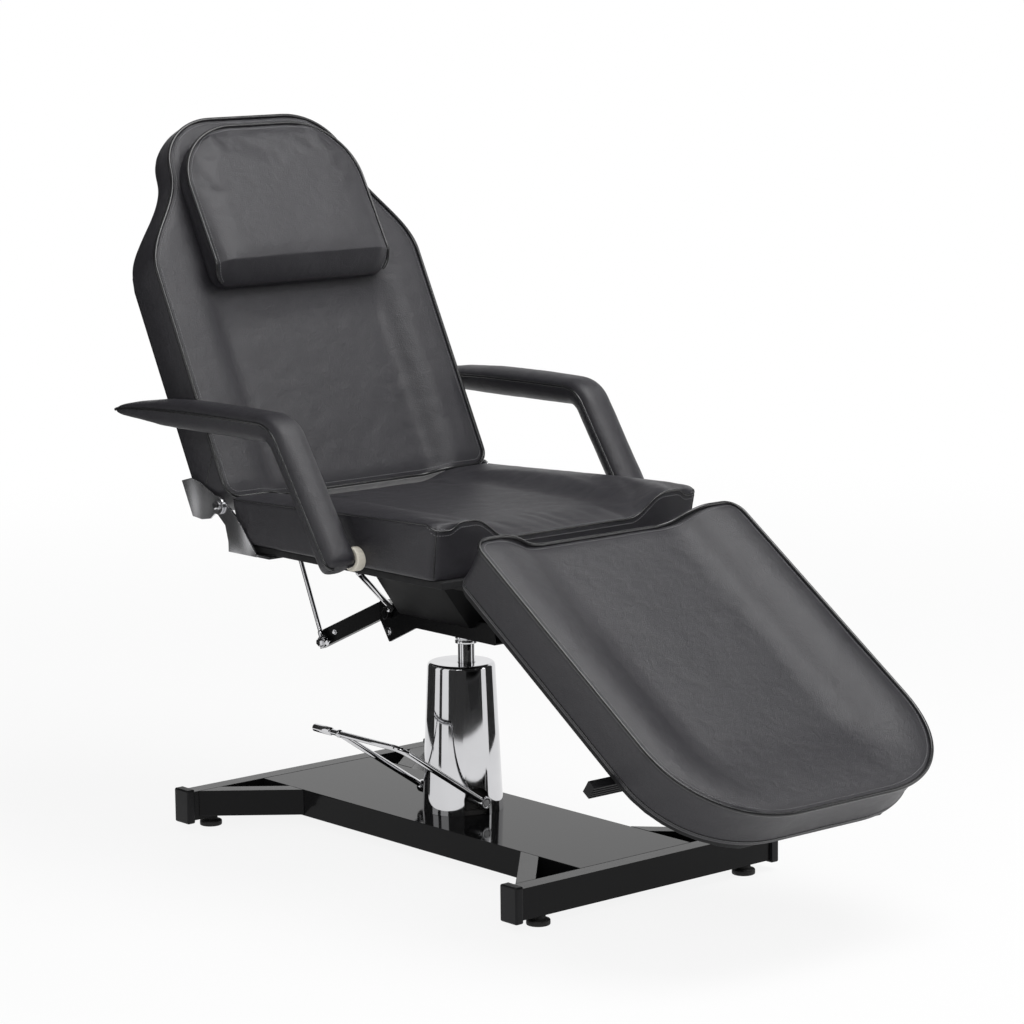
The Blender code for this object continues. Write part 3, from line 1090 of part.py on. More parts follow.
spacer_in = SEAT_HALF + GAP
spacer_out = spacer_in + ARM_SPACER
arm_in = spacer_out + GAP
for side, sign in (("right", -1), ("left", 1)):
    pivot = (ARM_PIVOT_Y, ARM_PIVOT_Z)
    arm_body = Body(f"arm_{side}", (sign * arm_in, *pivot), seat_body)
    spacer_ends = ((sign * spacer_in, *pivot), (sign * spacer_out, *pivot))
    spacer = washer(*spacer_ends, ARM_SPACER_RADIUS, ARM_STUD_RADIUS + GAP, 24)
    piece(f"arm_spacer_{side}", spacer, seat_body, CREAM_PLASTIC)
    plate_x = sorted((sign * STUD_PLATE_X, sign * (STUD_PLATE_X + STUD_PLATE)))
    foot_x = sorted((sign * (STUD_PLATE_X - STUD_FLANGE), sign * (STUD_PLATE_X + STUD_PLATE / 2)))
    y0, y1 = ARM_PIVOT_Y - STUD_PLATE_HALF, ARM_PIVOT_Y + STUD_PLATE_HALF
    stud_low = BOARD_TOP + GAP
    stud_plate = box(*plate_x, y0, y1, stud_low, stud_low + STUD_PLATE_RISE)
    stud = piece(f"arm_stud_{side}", stud_plate, seat_body, STEEL)
    combine(stud, "UNION", box(*foot_x, y0, y1, stud_low, stud_low + STUD_PLATE), seat_body)
    stud_ends = ((sign * (STUD_PLATE_X + STUD_PLATE / 2), *pivot), (sign * ARM_STUD_END, *pivot))
    combine(stud, "UNION", rod(*stud_ends, ARM_STUD_RADIUS), seat_body)
    room = sorted((sign * (STUD_PLATE_X - STUD_FLANGE - RUN), sign * (STUD_PLATE_X + STUD_PLATE + RUN)))
    pocket = box(*room, y0 - RUN, y1 + RUN, BOARD_BOTTOM, stud_low + STUD_PLATE_RISE + RUN)
    combine(seat_pad, "DIFFERENCE", pocket, seat_body)
    way_ends = ((sign * STUD_PLATE_X, *pivot), (sign * (SEAT_HALF + ARM_SPACER), *pivot))
    combine(seat_pad, "DIFFERENCE", rod(*way_ends, ARM_STUD_RADIUS + RUN), seat_body)
    arm = piece(f"arm_pad_{side}", loft(arm_rings(sign * (arm_in + ARM_HALF_WIDTH))), arm_body, LEATHER)
    socket_ends = ((sign * (arm_in - ARM_SPACER), *pivot), (sign * (ARM_STUD_END + RUN), *pivot))
    combine(arm, "DIFFERENCE", rod(*socket_ends, ARM_STUD_RADIUS + RUN), arm_body)


# Gas struts: a rod that turns on the seat frame slides in a tube that turns on the piece it holds
def strut(name, foot, head, tube_length, rod_length, rod_body, tube_body):
    side = Vector((STRUT_EYE / 2, 0, 0))
    run = (head - foot).normalized()
    bore = STRUT_PIN_RADIUS + RUN
    eye_wall = (STRUT_EYE_RADIUS + bore) / 2
    piston = [(STRUT_ROD_RADIUS, eye_wall), (STRUT_ROD_RADIUS, rod_length - STRUT_PISTON),
              (STRUT_TUBE_BORE - RUN, rod_length - STRUT_PISTON), (STRUT_TUBE_BORE - RUN, rod_length)]
    made = piece(f"{name}_strut_rod", turned(piston, 14, foot, run), rod_body, CHROME)
    combine(made, "UNION", washer(foot - side, foot + side, STRUT_EYE_RADIUS, bore), rod_body)
    neck = STRUT_ROD_RADIUS + RUN
    collar = STRUT_EYE_RADIUS + LUG_SHEET
    roof = collar + STRUT_TUBE_RADIUS - STRUT_TUBE_BORE
    tube_inner = tube_length - STRUT_GLAND
    tube = [(STRUT_TUBE_BORE, roof), (STRUT_TUBE_BORE, tube_inner), (neck, tube_inner), (neck, tube_length),
            (STRUT_TUBE_RADIUS, tube_length), (STRUT_TUBE_RADIUS, collar), (neck, collar), (neck, eye_wall)]
    made = piece(f"{name}_strut_tube", turned(tube, 18, head, -run), tube_body, BLACK_PAINT)
    combine(made, "UNION", washer(head - side, head + side, STRUT_EYE_RADIUS, bore), tube_body)
    combine(made, "DIFFERENCE", rod(head - 2 * side, head + 2 * side, bore), tube_body)


strut("back", STRUT_FOOT, STRUT_HEAD, BACK_TUBE, BACK_ROD, back_rod_body, back_tube_body)
strut("leg", LEG_STRUT_FOOT, LEG_STRUT_HEAD, LEG_TUBE, LEG_ROD, leg_rod_body, leg_tube_body)


# Lugs that hold the struts' heads: a base screwed to the board, an ear and a pin
def head_lug(name, place, x, along, out, rear, ear_sign, body):
    face = x + ear_sign * (STRUT_EYE / 2 + GAP)
    ear_x = (face, face + ear_sign * LUG_SHEET)
    seat = rear - GAP
    base_x = (x - LUG_BASE_HALF, x + LUG_BASE_HALF)
    reach = STRUT_EYE_RADIUS + LUG_SHEET / 2
    low, high = along - LUG_BASE_HALF, along + LUG_BASE_HALF
    pad = ((low, seat), (high, seat), (high, seat - PLATE_FLANGE), (low, seat - PLATE_FLANGE))
    made = piece(name, loft([[place(i, s, o) for s, o in pad] for i in base_x]), body, BLACK_PAINT)
    root = seat - PLATE_FLANGE / 2
    ear = arc(along, out, reach, 180, 360, 8) + [(along + reach, root), (along - reach, root)]
    combine(made, "UNION", loft([[place(i, s, o) for s, o in ear] for i in ear_x]), body)
    pin_in = place(face + ear_sign * LUG_SHEET / 2, along, out)
    pin_out = place(x - ear_sign * STRUT_EYE / 2, along, out)
    combine(made, "UNION", rod(pin_in, pin_out, STRUT_PIN_RADIUS), body)


head_lug("back_strut_lug", on_back, STRUT_X, STRUT_HEAD_ALONG, STRUT_HEAD_OUT, BACK_REAR, -1, back_body)
head_lug("leg_strut_lug", on_leg, LEG_STRUT_X, LEG_STRUT_SWING, 0, LEG_REAR, 1, leg_body)

# Release lever: a bright rod from a hub on the beam, out behind the bracket to the seat's side
hub_half = Vector((LEVER_HUB / 2, 0, 0))
lever_eye = washer(lever_hub - hub_half, lever_hub + hub_half, LEVER_HUB_RADIUS, LEVER_RADIUS + RUN)
lever = piece("release_lever", lever_eye, lever_body, CHROME)
toward = Vector((0, LEVER_HAND.y - lever_hub.y, LEVER_HAND.z - lever_hub.z)).normalized()
lever_root = lever_hub + toward * (LEVER_HUB_RADIUS + LEVER_RADIUS) / 2
lever_path = rounded([lever_root, lever_hub + toward * LEVER_NECK, LEVER_HAND], LEVER_NECK / 3)
combine(lever, "UNION", swept(lever_path, LEVER_RADIUS, 12), lever_body)
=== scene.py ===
import json
from bisect import bisect_left
from math import acos, copysign, cos, exp, hypot, pi, radians, sin, sqrt, tan

import bmesh
import bpy
from mathutils import Matrix, Vector, noise
from mathutils.bvhtree import BVHTree

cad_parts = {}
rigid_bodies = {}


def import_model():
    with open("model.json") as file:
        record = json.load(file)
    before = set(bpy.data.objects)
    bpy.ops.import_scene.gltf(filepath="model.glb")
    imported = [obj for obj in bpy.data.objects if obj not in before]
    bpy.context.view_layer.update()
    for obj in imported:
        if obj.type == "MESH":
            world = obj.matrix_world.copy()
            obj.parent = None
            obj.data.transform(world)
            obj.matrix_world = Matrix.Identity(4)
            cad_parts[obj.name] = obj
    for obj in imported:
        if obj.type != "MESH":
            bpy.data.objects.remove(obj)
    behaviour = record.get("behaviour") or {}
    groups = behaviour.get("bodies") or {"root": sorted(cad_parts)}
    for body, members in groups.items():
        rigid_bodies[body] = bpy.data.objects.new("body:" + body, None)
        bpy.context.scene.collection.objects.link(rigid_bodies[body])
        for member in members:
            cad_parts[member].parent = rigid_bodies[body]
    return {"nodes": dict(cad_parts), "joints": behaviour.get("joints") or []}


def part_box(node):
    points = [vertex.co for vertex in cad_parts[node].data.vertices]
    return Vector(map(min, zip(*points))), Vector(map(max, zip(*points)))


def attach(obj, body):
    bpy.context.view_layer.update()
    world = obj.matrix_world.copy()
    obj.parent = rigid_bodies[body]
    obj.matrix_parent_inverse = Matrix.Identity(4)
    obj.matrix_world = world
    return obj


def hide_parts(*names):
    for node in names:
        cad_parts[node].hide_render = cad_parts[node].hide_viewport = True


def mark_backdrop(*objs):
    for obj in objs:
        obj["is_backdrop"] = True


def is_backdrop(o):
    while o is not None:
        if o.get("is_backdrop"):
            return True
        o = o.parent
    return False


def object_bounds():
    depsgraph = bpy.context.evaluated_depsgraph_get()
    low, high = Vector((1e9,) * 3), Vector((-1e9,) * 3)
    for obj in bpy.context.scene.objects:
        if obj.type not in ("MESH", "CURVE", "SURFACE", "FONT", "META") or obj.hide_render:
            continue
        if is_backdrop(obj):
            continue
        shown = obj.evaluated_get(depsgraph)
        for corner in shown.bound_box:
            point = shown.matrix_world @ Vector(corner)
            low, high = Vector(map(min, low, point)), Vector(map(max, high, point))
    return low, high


for leftover in list(bpy.data.objects):
    bpy.data.objects.remove(leftover)
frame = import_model()
nodes = frame["nodes"]
pivots = {joint["name"]: Vector(joint["pos_m"]) for joint in frame["joints"] if "pos_m" in joint}
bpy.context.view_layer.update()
scene = bpy.context.scene

# Base frame: two square tubes, four braces and a folded sheet tray between them.
# Mild steel, welded at the joints and sprayed gloss black; the tray's flat top is the shiniest face.
CORNERS = [f"{end}_{side}" for end in ("front", "rear") for side in ("left", "right")]


class Value:
    """A socket of a node tree. Operators on it add Math nodes."""

    def __init__(self, graph, socket):
        self.graph, self.socket = graph, socket

    def math(self, operation, first, second):
        return self.graph.node("ShaderNodeMath", {"operation": operation}, {0: first, 1: second})

    def __add__(self, other):
        return self.math("ADD", self, other)

    def __sub__(self, other):
        return self.math("SUBTRACT", self, other)

    def __rsub__(self, other):
        return self.math("SUBTRACT", other, self)

    def __mul__(self, other):
        return self.math("MULTIPLY", self, other)

    def __pow__(self, other):
        return self.math("POWER", self, other)

    def __rpow__(self, other):
        return self.math("POWER", other, self)

    __radd__ = __add__
    __rmul__ = __mul__


class Graph:
    """A node tree, with one way to add a node: its type, its settings, and its socket values or links."""

    def __init__(self, tree):
        self.tree = tree

    def feed(self, socket, value):
        if isinstance(value, Value):
            self.tree.links.new(value.socket, socket)
        else:
            socket.default_value = value

    def node(self, kind, settings=None, inputs=None, out=0):
        made = self.tree.nodes.new(kind)
        for key, value in (settings or {}).items():
            if key == "stops":
                self.set_stops(made.color_ramp.elements, value)
            else:
                setattr(made, key, value)
        for key, value in (inputs or {}).items():
            self.feed(made.inputs[key], value)
        return None if out is None else Value(self, made.outputs[out])

    def set_stops(self, elements, stops):
        while len(elements) < len(stops):
            elements.new(0.5)
        for element, (place, level) in zip(elements, stops):
            element.position = place
            element.color = (level, level, level, 1)


class Finish(Graph):
    """A material in the piece's own coordinates, for one slot of the record or for the stage."""

    def __init__(self, slot, name=None, **sockets):
        self.slot = slot
        self.material = bpy.data.materials.new(name or slot)
        self.material.use_nodes = True
        super().__init__(self.material.node_tree)
        self.shader = self.tree.nodes["Principled BSDF"]
        self.place = self.node("ShaderNodeTexCoord", out="Object")
        self.set(**sockets)

    def set(self, **sockets):
        for key, value in sockets.items():
            label = key.replace("_", " ").title().replace("Ior", "IOR")
            self.feed(self.shader.inputs[label], value)

    def noise(self, scale, detail=2.0, distortion=0.0):
        inputs = {"Vector": self.place, "Scale": scale, "Detail": detail, "Distortion": distortion}
        return self.node("ShaderNodeTexNoise", None, inputs)

    def blend(self, share, first, second):
        """A colour between two: 0, 6 and 7 are a Mix node's factor and colours, and 2 is its colour out."""
        inputs = {0: share, 6: (*first, 1), 7: (*second, 1)}
        return self.node("ShaderNodeMix", {"data_type": "RGBA"}, inputs, out=2)

    def bump(self, height, distance, strength, under=None):
        inputs = {"Height": height, "Distance": distance, "Strength": strength}
        if under:
            inputs["Normal"] = under
        return self.node("ShaderNodeBump", None, inputs)


def mottled(slot, dark, light, cloud, rough, wear=None, grain=None, bump=None, name=None, shine=0.5,
            metallic=0.0):
    """A finish between two tones in a cloudy pattern. Roughness is a least value and a share of the wear
    pattern, or else of the clouds. A bump of a distance and strength follows the grain, or else the wear."""
    made = Finish(slot, name, specular_ior_level=shine, metallic=metallic)
    clouds = made.noise(*cloud)
    worn = made.noise(*wear) if wear else clouds
    made.set(base_color=made.blend(clouds, dark, light), roughness=rough[0] + rough[1] * worn)
    if bump:
        made.set(normal=made.bump(made.noise(*grain) if grain else worn, *bump))
    return made


def modify(made, kind, **settings):
    """Adds a modifier with its settings."""
    modifier = made.modifiers.new(kind.lower(), kind)
    for key, value in settings.items():
        setattr(modifier, key, value)
    return modifier


def dress(names, finish, edge):
    """Gives CAD nodes their finish and the small radius of a real corner."""
    for name in names:
        node = nodes[name]
        node.data.materials.clear()
        node.data.materials.append(finish.material)
        node.data.polygons.foreach_set("use_smooth", [True] * len(node.data.polygons))
        modify(node, "WELD", merge_threshold=0.00002)
        modify(node, "DECIMATE", decimate_type="DISSOLVE", angle_limit=radians(2))
        modify(node, "BEVEL", width=edge, segments=3, limit_method="ANGLE", angle_limit=radians(28))
        modify(node, "WEIGHTED_NORMAL", weight=80)


paint = mottled("black_paint", (0.005, 0.005, 0.0055), (0.008, 0.008, 0.0085), cloud=(9.0, 3.0),
                rough=(0.16, 0.12), grain=(420.0,), bump=(0.00008, 0.5), shine=0.13)
gloss = mottled("black_paint", (0.006, 0.006, 0.0065), (0.009, 0.009, 0.0095), cloud=(6.0, 3.0),
                rough=(0.05, 0.08), grain=(60.0,), bump=(0.00005, 0.4), name="tray_paint",
                shine=0.08)
dress(["base_front_bar", "base_rear_bar"], paint, edge=0.0022)
dress([f"base_brace_{corner}" for corner in CORNERS], paint, edge=0.0015)
dress(["base_tray"], gloss, edge=0.0016)

# End caps: plugs moulded in black plastic, finely grained and with a flared rim.
# One is pressed into each open end of the two tubes.
plastic = mottled("black_plastic", (0.008, 0.008, 0.009), (0.012, 0.012, 0.013), cloud=(30.0,),
                  rough=(0.34, 0.18), wear=(900.0,), bump=(0.0001, 0.5), shine=0.18)
dress([f"base_cap_{corner}" for corner in CORNERS], plastic, edge=0.0032)

# Levelling feet: round rubber pads with a neck, one near each end of the two tubes.
# Each is moulded onto a threaded stud that screws up into its tube.
FOOT_SPREAD = 0.019
FOOT_SIDE = 0.0085
FOOT_SHOULDER = (0.012, 0.0105)
FOOT_NECK = 0.011
FOOT_HIGH = 0.0167
FOOT_EDGE = 0.0022
STUD = 0.0048
STUD_TOP = FOOT_HIGH + 0.022
CURVE_SHARE = 0.49
MERGE = 0.000002
CREASE = radians(35)


def turned(profile, origin, axis=(0, 0, 1), steps=48):
    """Points and faces of a profile of radius and height turned about an axis."""
    lean = Vector((0, 0, 1)).rotation_difference(Vector(axis))
    points, faces = [], []
    for k in range(steps):
        angle = 2 * pi * k / steps
        for radius, height in profile:
            spot = Vector((radius * cos(angle), radius * sin(angle), height))
            points.append(Vector(origin) + lean @ spot)
    count = len(profile)
    for k in range(steps):
        here, beyond = k * count, (k + 1) % steps * count
        for i in range(count):
            j = (i + 1) % count
            faces.append((here + i, beyond + i, beyond + j, here + j))
    return points, faces


def softened(path, reach, steps=4, closed=False):
    """The path with each inner corner drawn as a short curve."""
    path = [Vector(point) for point in path]
    made = []
    for k, corner in enumerate(path):
        if not closed and k in (0, len(path) - 1):
            made.append(corner)
            continue
        before = path[k - 1] - corner
        after = path[(k + 1) % len(path)] - corner
        cut = min(reach, before.length * CURVE_SHARE, after.length * CURVE_SHARE)
        start, stop = corner + before.normalized() * cut, corner + after.normalized() * cut
        for i in range(steps + 1):
            t = i / steps
            made.append(start * (1 - t) ** 2 + corner * (2 * t * (1 - t)) + stop * t**2)
    return made


def added(name, points, faces, edges=()):
    """A new object with its place in its mesh."""
    mesh = bpy.data.meshes.new(name)
    mesh.from_pydata([tuple(point) for point in points], edges, faces)
    made = bpy.data.objects.new(name, mesh)
    scene.collection.objects.link(made)
    return made


def solid(name, shape, merge=True):
    """A new object with its faces turned outwards, and with its doubles merged if asked."""
    made = added(name, *shape)
    work = bmesh.new()
    work.from_mesh(made.data)
    if merge:
        bmesh.ops.remove_doubles(work, verts=work.verts, dist=MERGE)
    bmesh.ops.recalc_face_normals(work, faces=work.faces)
    work.to_mesh(made.data)
    work.free()
    made.data.shade_smooth()
    return made


def keep(made, body, covered=None):
    """Hands a finished piece to the frame, in place of the CAD node it covers."""
    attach(made, body)
    if covered:
        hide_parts(covered)


def put(name, shape, finish, body, covered=None):
    """Adds a rigid piece that rides on a body."""
    made = solid(name, shape)
    made.data.set_sharp_from_angle(angle=CREASE)
    made.data.materials.append(finish.material)
    keep(made, body, covered)
    return made


rubber = mottled("rubber", (0.012, 0.012, 0.012), (0.022, 0.021, 0.021), cloud=(80.0, 4.0), rough=(0.55, 0.2),
                 wear=(200.0,), grain=(700.0,), bump=(0.0001, 0.4), shine=0.35)
foot_line = softened(
    [(0, 0), (FOOT_SPREAD, 0), (FOOT_SPREAD, FOOT_SIDE), FOOT_SHOULDER, (FOOT_NECK, FOOT_HIGH),
     (STUD, FOOT_HIGH), (STUD, STUD_TOP), (0, STUD_TOP)], FOOT_EDGE)
for corner in CORNERS:
    foot = f"{corner}_foot"
    spot = pivots[f"{foot}_screw"]
    put(f"{foot}_turned", turned(foot_line, (spot.x, spot.y, 0)), rubber, foot, foot)

# Pump inside the cover: a cast iron body bolted through the tray, a drawn steel cylinder and its gland.
# The steel plunger and the ram's piston run inside them.
iron = mottled("cast_iron", (0.035, 0.034, 0.033), (0.075, 0.072, 0.070), cloud=(260.0, 5.0),
               rough=(0.55, 0.25), bump=(0.0004, 0.6), metallic=0.55, shine=0.4)
steel = mottled("steel", (0.42, 0.42, 0.43), (0.56, 0.56, 0.57), cloud=(160.0, 3.0), rough=(0.26, 0.16),
                metallic=1.0)
dress(["pump_body"], iron, edge=0.001)
dress(["pump_cylinder", "pump_gland", "pump_plunger", "ram_piston"], steel, edge=0.0004)

# Pump cover: a cone spun from sheet steel and chromed, with a rolled rim round its flat top.
# It stands on the tray over the pump, with arched slots for the pedal shaft and a hole for the ram.
COVER_WALL = 0.002
COVER_ROLL = 0.0075
COVER_TOP_RADIUS = 0.0562
COVER_ROLL_END = 0.030
COVER_ROOF_RADIUS = 0.050
COVER_NECK = (0.0528, 0.006)
SLOT_HALF = 0.021
SLOT_HIGH = 0.047
SLOT_BELOW = 0.004
SLOT_REACH = 0.1
SLOT_STEPS = 16
RAM_RADIUS = 0.014
RAM_HOLE = RAM_RADIUS + 0.001
RAM_HOLE_PAST = 0.01
cover_low, cover_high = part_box("pump_cover")
cover_axis = (cover_low + cover_high) / 2
cover_wide = (cover_high.x - cover_low.x) / 2
cover_roof = cover_high.z - COVER_WALL
ram_low, ram_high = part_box("ram")
ram_foot = (0, (ram_low.y + ram_high.y) / 2, 0)
chrome = mottled("chrome", (0.56, 0.56, 0.575), (0.68, 0.68, 0.695), cloud=(14.0, 3.0, 0.6),
                 rough=(0.02, 0.06), metallic=1.0)


def tube_faces(rings, sides):
    """Faces between rings of points in order, closed at both ends."""
    faces = []
    for k in range(rings - 1):
        for i in range(sides):
            j = (i + 1) % sides
            faces.append((k * sides + i, k * sides + j, (k + 1) * sides + j, (k + 1) * sides + i))
    last = (rings - 1) * sides
    return faces + [tuple(range(sides)), tuple(range(last, last + sides))]


def settle(made, modifier):
    """Turns a piece into the plain mesh that its modifier gives."""
    graph = bpy.context.evaluated_depsgraph_get()
    made.data = bpy.data.meshes.new_from_object(made.evaluated_get(graph), depsgraph=graph)
    made.modifiers.remove(modifier)
    made.data.shade_smooth()


def carve(made, shape):
    """Cuts a closed shape out of a piece."""
    cutter = solid("cutter", shape)
    settle(made, modify(made, "BOOLEAN", solver="EXACT", object=cutter))
    bpy.data.objects.remove(cutter)
    made.data.set_sharp_from_angle(angle=CREASE)


cover_outer = [(cover_wide, cover_low.z), (COVER_TOP_RADIUS, cover_high.z), (COVER_ROLL_END, cover_high.z)]
cover_line = [
    (cover_wide - COVER_WALL, cover_low.z), *softened(cover_outer, COVER_ROLL, steps=8), (0, cover_high.z),
    (0, cover_roof), (COVER_ROOF_RADIUS, cover_roof), (COVER_NECK[0], cover_roof - COVER_NECK[1])]
cover_foot = (0, cover_axis.y, 0)
cover = put("cover_spun", turned(cover_line, cover_foot, steps=144), chrome, "base", "pump_cover")
slot_x = pivots["pedal_press"].x
slot_low = cover_low.z - SLOT_BELOW
slot_spring = cover_low.z + SLOT_HIGH - SLOT_HALF
slot_line = [(slot_x - SLOT_HALF, slot_low), (slot_x + SLOT_HALF, slot_low)]
for k in range(SLOT_STEPS + 1):
    angle = pi * k / SLOT_STEPS
    slot_line.append((slot_x + SLOT_HALF * cos(angle), slot_spring + SLOT_HALF * sin(angle)))
slot_sides = (cover_axis.y - SLOT_REACH, cover_axis.y + SLOT_REACH)
slot_points = [Vector((x, y, z)) for y in slot_sides for x, z in slot_line]
carve(cover, (slot_points, tube_faces(2, len(slot_line))))
hole_low, hole_high = cover_roof - RAM_HOLE_PAST, cover_high.z + RAM_HOLE_PAST
hole_line = [(0, hole_low), (RAM_HOLE, hole_low), (RAM_HOLE, hole_high), (0, hole_high)]
carve(cover, turned(hole_line, ram_foot))

# Pedal: a chromed steel rod bent into a loop and welded to two hubs on the cross shaft.
# A second arm is welded to its foot bar, and a sleeve is pushed over the bar's end.
PEDAL_ROD = 0.005
PEDAL_BEND = 0.022
PEDAL_ARM_Y = 0.080
PEDAL_REACH = Vector((-0.175, 0, 0.117))
PEDAL_TIP_Y = 0.142
PEDAL_GRIP = 0.0068
PEDAL_GRIP_LONG = 0.042
PEDAL_HUB = 0.0105
PEDAL_HUB_HALF = 0.005
PEDAL_BORE = 0.0063
PEDAL_ROOT = 0.8 * PEDAL_HUB
WELD_RADIUS = 0.0066
WELD_HALF = 0.004
ROD_END = ((1, 0.0), (0.96, 0.3), (0.82, 0.6), (0.55, 0.85), (0.001, 1.0))
ALONG_Y = (0, 1, 0)


def ring_line(inner, outer, low, high, edge, steps=4):
    """Profile of a disc, or of a ring where there is an inner radius, with rounded edges."""
    return softened([(inner, low), (outer, low), (outer, high), (inner, high)], edge, steps, inner > 0)


def swept(path, radius, sides=20, dome=0.5):
    """Points and faces of a round rod along a path, its ends drawn in over a share of the radius."""
    path = [Vector(point) for point in path]
    runs = [(two - one).normalized() for one, two in zip([path[0], *path], [*path[1:], path[-1]])]
    short = radius * dome
    spots = [(path[0] + runs[0] * short * (1 - s), runs[0], radius * w) for w, s in reversed(ROD_END)]
    spots += [(point, run, radius) for point, run in zip(path[1:-1], runs[1:-1])]
    spots += [(path[-1] - runs[-1] * short * (1 - s), runs[-1], radius * w) for w, s in ROD_END]
    side = runs[0].orthogonal().normalized()
    points = []
    for point, run, size in spots:
        side = (side - run * side.dot(run)).normalized()
        other = run.cross(side)
        for i in range(sides):
            angle = 2 * pi * i / sides
            points.append(point + (side * cos(angle) + other * sin(angle)) * size)
    return points, tube_faces(len(spots), sides)


def joined(*shapes):
    """One list of points and faces from several."""
    points, faces = [], []
    for more, panes in shapes:
        faces += [tuple(len(points) + i for i in pane) for pane in panes]
        points += list(more)
    return points, faces


dress(["pedal_shaft"], steel, edge=0.0004)
pedal = pivots["pedal_press"]
foot_bar = pedal + PEDAL_REACH
near_arm, far_arm = Vector((0, -PEDAL_ARM_Y, 0)), Vector((0, PEDAL_ARM_Y, 0))
bar_tip = Vector((foot_bar.x, pedal.y + PEDAL_TIP_Y, foot_bar.z))
arm_root = pedal + PEDAL_REACH.normalized() * PEDAL_ROOT
loop_path = softened([arm_root + near_arm, foot_bar + near_arm, bar_tip], PEDAL_BEND, steps=10)
sleeve_path = [bar_tip - Vector((0, PEDAL_GRIP_LONG, 0)), bar_tip + Vector((0, PEDAL_ROD, 0))]
hub_line = ring_line(PEDAL_BORE, PEDAL_HUB, -PEDAL_HUB_HALF, PEDAL_HUB_HALF, edge=0.0012, steps=3)
weld_line = ring_line(0, WELD_RADIUS, -WELD_HALF, WELD_HALF, edge=0.003)
pedal_shape = joined(
    swept(loop_path, PEDAL_ROD),
    swept([arm_root + far_arm, foot_bar + far_arm], PEDAL_ROD),
    swept(sleeve_path, PEDAL_GRIP, sides=24, dome=0.4),
    turned(hub_line, pedal + near_arm, ALONG_Y, steps=32),
    turned(hub_line, pedal + far_arm, ALONG_Y, steps=32),
    turned(weld_line, foot_bar + far_arm, ALONG_Y, steps=24),
)
put("pedal_bent", pedal_shape, chrome, "pedal", "pedal_loop")

# Ram: a ground and chromed steel column that the pump drives up out of its cover.
# The seat frame swivels on its top in a chromed socket with a groove turned round it.
SOCKET_RADIUS = 0.0187
SOCKET_BORE = RAM_RADIUS + 0.0004
SOCKET_ROOF = 0.0032
SOCKET_GROOVE = ((0, 0), (0, 0.0045), (0.0014, 0.0055), (0.0014, 0.0070), (0, 0.0080))
ram_line = ring_line(0, RAM_RADIUS, ram_low.z, ram_high.z, edge=0.001)
put("ram_ground", turned(ram_line, ram_foot, steps=64), chrome, "ram", "ram")
socket_low, socket_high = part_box("ram_socket")
socket_roof = socket_high.z - SOCKET_ROOF
socket_outer = [(SOCKET_RADIUS - deep, socket_low.z + high) for deep, high in SOCKET_GROOVE]
socket_line = [(SOCKET_BORE, socket_roof), (SOCKET_BORE, socket_low.z), *socket_outer,
               (SOCKET_RADIUS, socket_high.z)]
socket_line = softened(socket_line, reach=0.0007, steps=3) + [(0, socket_high.z), (0, socket_roof)]
put("socket_turned", turned(socket_line, ram_foot, steps=64), chrome, "upper_frame", "ram_socket")

# Seat frame: a square beam with a gusset, a flat rear arm, a folded bracket and two rails, all steel.
# It is welded and sprayed black, the bracket in a darker, less shiny copy of the paint that is painted shade
# under the seat; chromed hexagon bolts and screws go into it.
WASHER_HIGH = 0.0013
HEAD_FOOT = 0.0018
BOLT_HIGH = 0.006
HEAD_FOOT_SHARE = 0.98
HEAD_CHAMFER = 0.8
BOLT_SHANK_SHARE = 0.55
BOLT_SHANK_SHORT = 0.001
SCREW_HIGH = 0.0045
SCREW_SHANK = 0.003
SCREW_WASHER_SHARE = 1.3
BEAM_SCREW = ((-0.022, 0.2995, 0.3461), (-1, 0, 0), 0.0052)
ARM_SCREW = ((-0.0533, 0.4075, 0.3332), (-0.937, -0.348, 0), 0.0034)


def hex_bolt(start, stop, shank, head, washer):
    """A hexagon head with a washer under it, facing from start to stop, and its shank."""
    start, stop = Vector(start), Vector(stop)
    run = (stop - start).normalized()
    high = (stop - start).length
    side = [(head * HEAD_FOOT_SHARE, WASHER_HIGH), (head, HEAD_FOOT), (head, high * HEAD_CHAMFER),
            (head * HEAD_CHAMFER, high)]
    cap_line = [(0, WASHER_HIGH), *softened(side, reach=0.0006, steps=3), (0, high)]
    shank_line = [start - run * shank, stop - run * BOLT_SHANK_SHORT]
    return joined(
        turned(ring_line(0, washer, 0, WASHER_HIGH, edge=0.0004), start, run, steps=40),
        turned(cap_line, start, run, steps=6),
        swept(shank_line, head * BOLT_SHANK_SHARE, sides=24, dome=0.1),
    )


dress(["main_beam", "rear_arm", "seat_rail_left", "seat_rail_right"], paint, edge=0.0012)
# Painted shade: the bracket's paint is a darker, less shiny copy of the black paint, for the shade under the
# seat.
shaded_bracket_paint = mottled("black_paint", (0.004, 0.004, 0.0045), (0.007, 0.007, 0.0075), cloud=(12.0, 3.0),
               rough=(0.42, 0.1), grain=(420.0,), bump=(0.00008, 0.5), name="bracket_paint",
               shine=0.03)
dress(["seat_bracket"], shaded_bracket_paint, edge=0.0009)
strut_foot = pivots["back_strut_foot"]
bolt_low, bolt_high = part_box("back_strut_bolt")
bolt_out = Vector((bolt_low.x, strut_foot.y, strut_foot.z))
strut_bolt = hex_bolt(bolt_out + Vector((BOLT_HIGH, 0, 0)), bolt_out, bolt_high.x - bolt_low.x - BOLT_HIGH,
                      head=0.0072, washer=0.0088)
put("strut_bolt", strut_bolt, chrome, "upper_frame", "back_strut_bolt")
screws = []
for spot, out, head in (BEAM_SCREW, ARM_SCREW):
    top = Vector(spot) + Vector(out) * SCREW_HIGH
    screws.append(hex_bolt(spot, top, SCREW_SHANK, head, head * SCREW_WASHER_SHARE))
put("frame_screws", joined(*screws), chrome, "upper_frame")

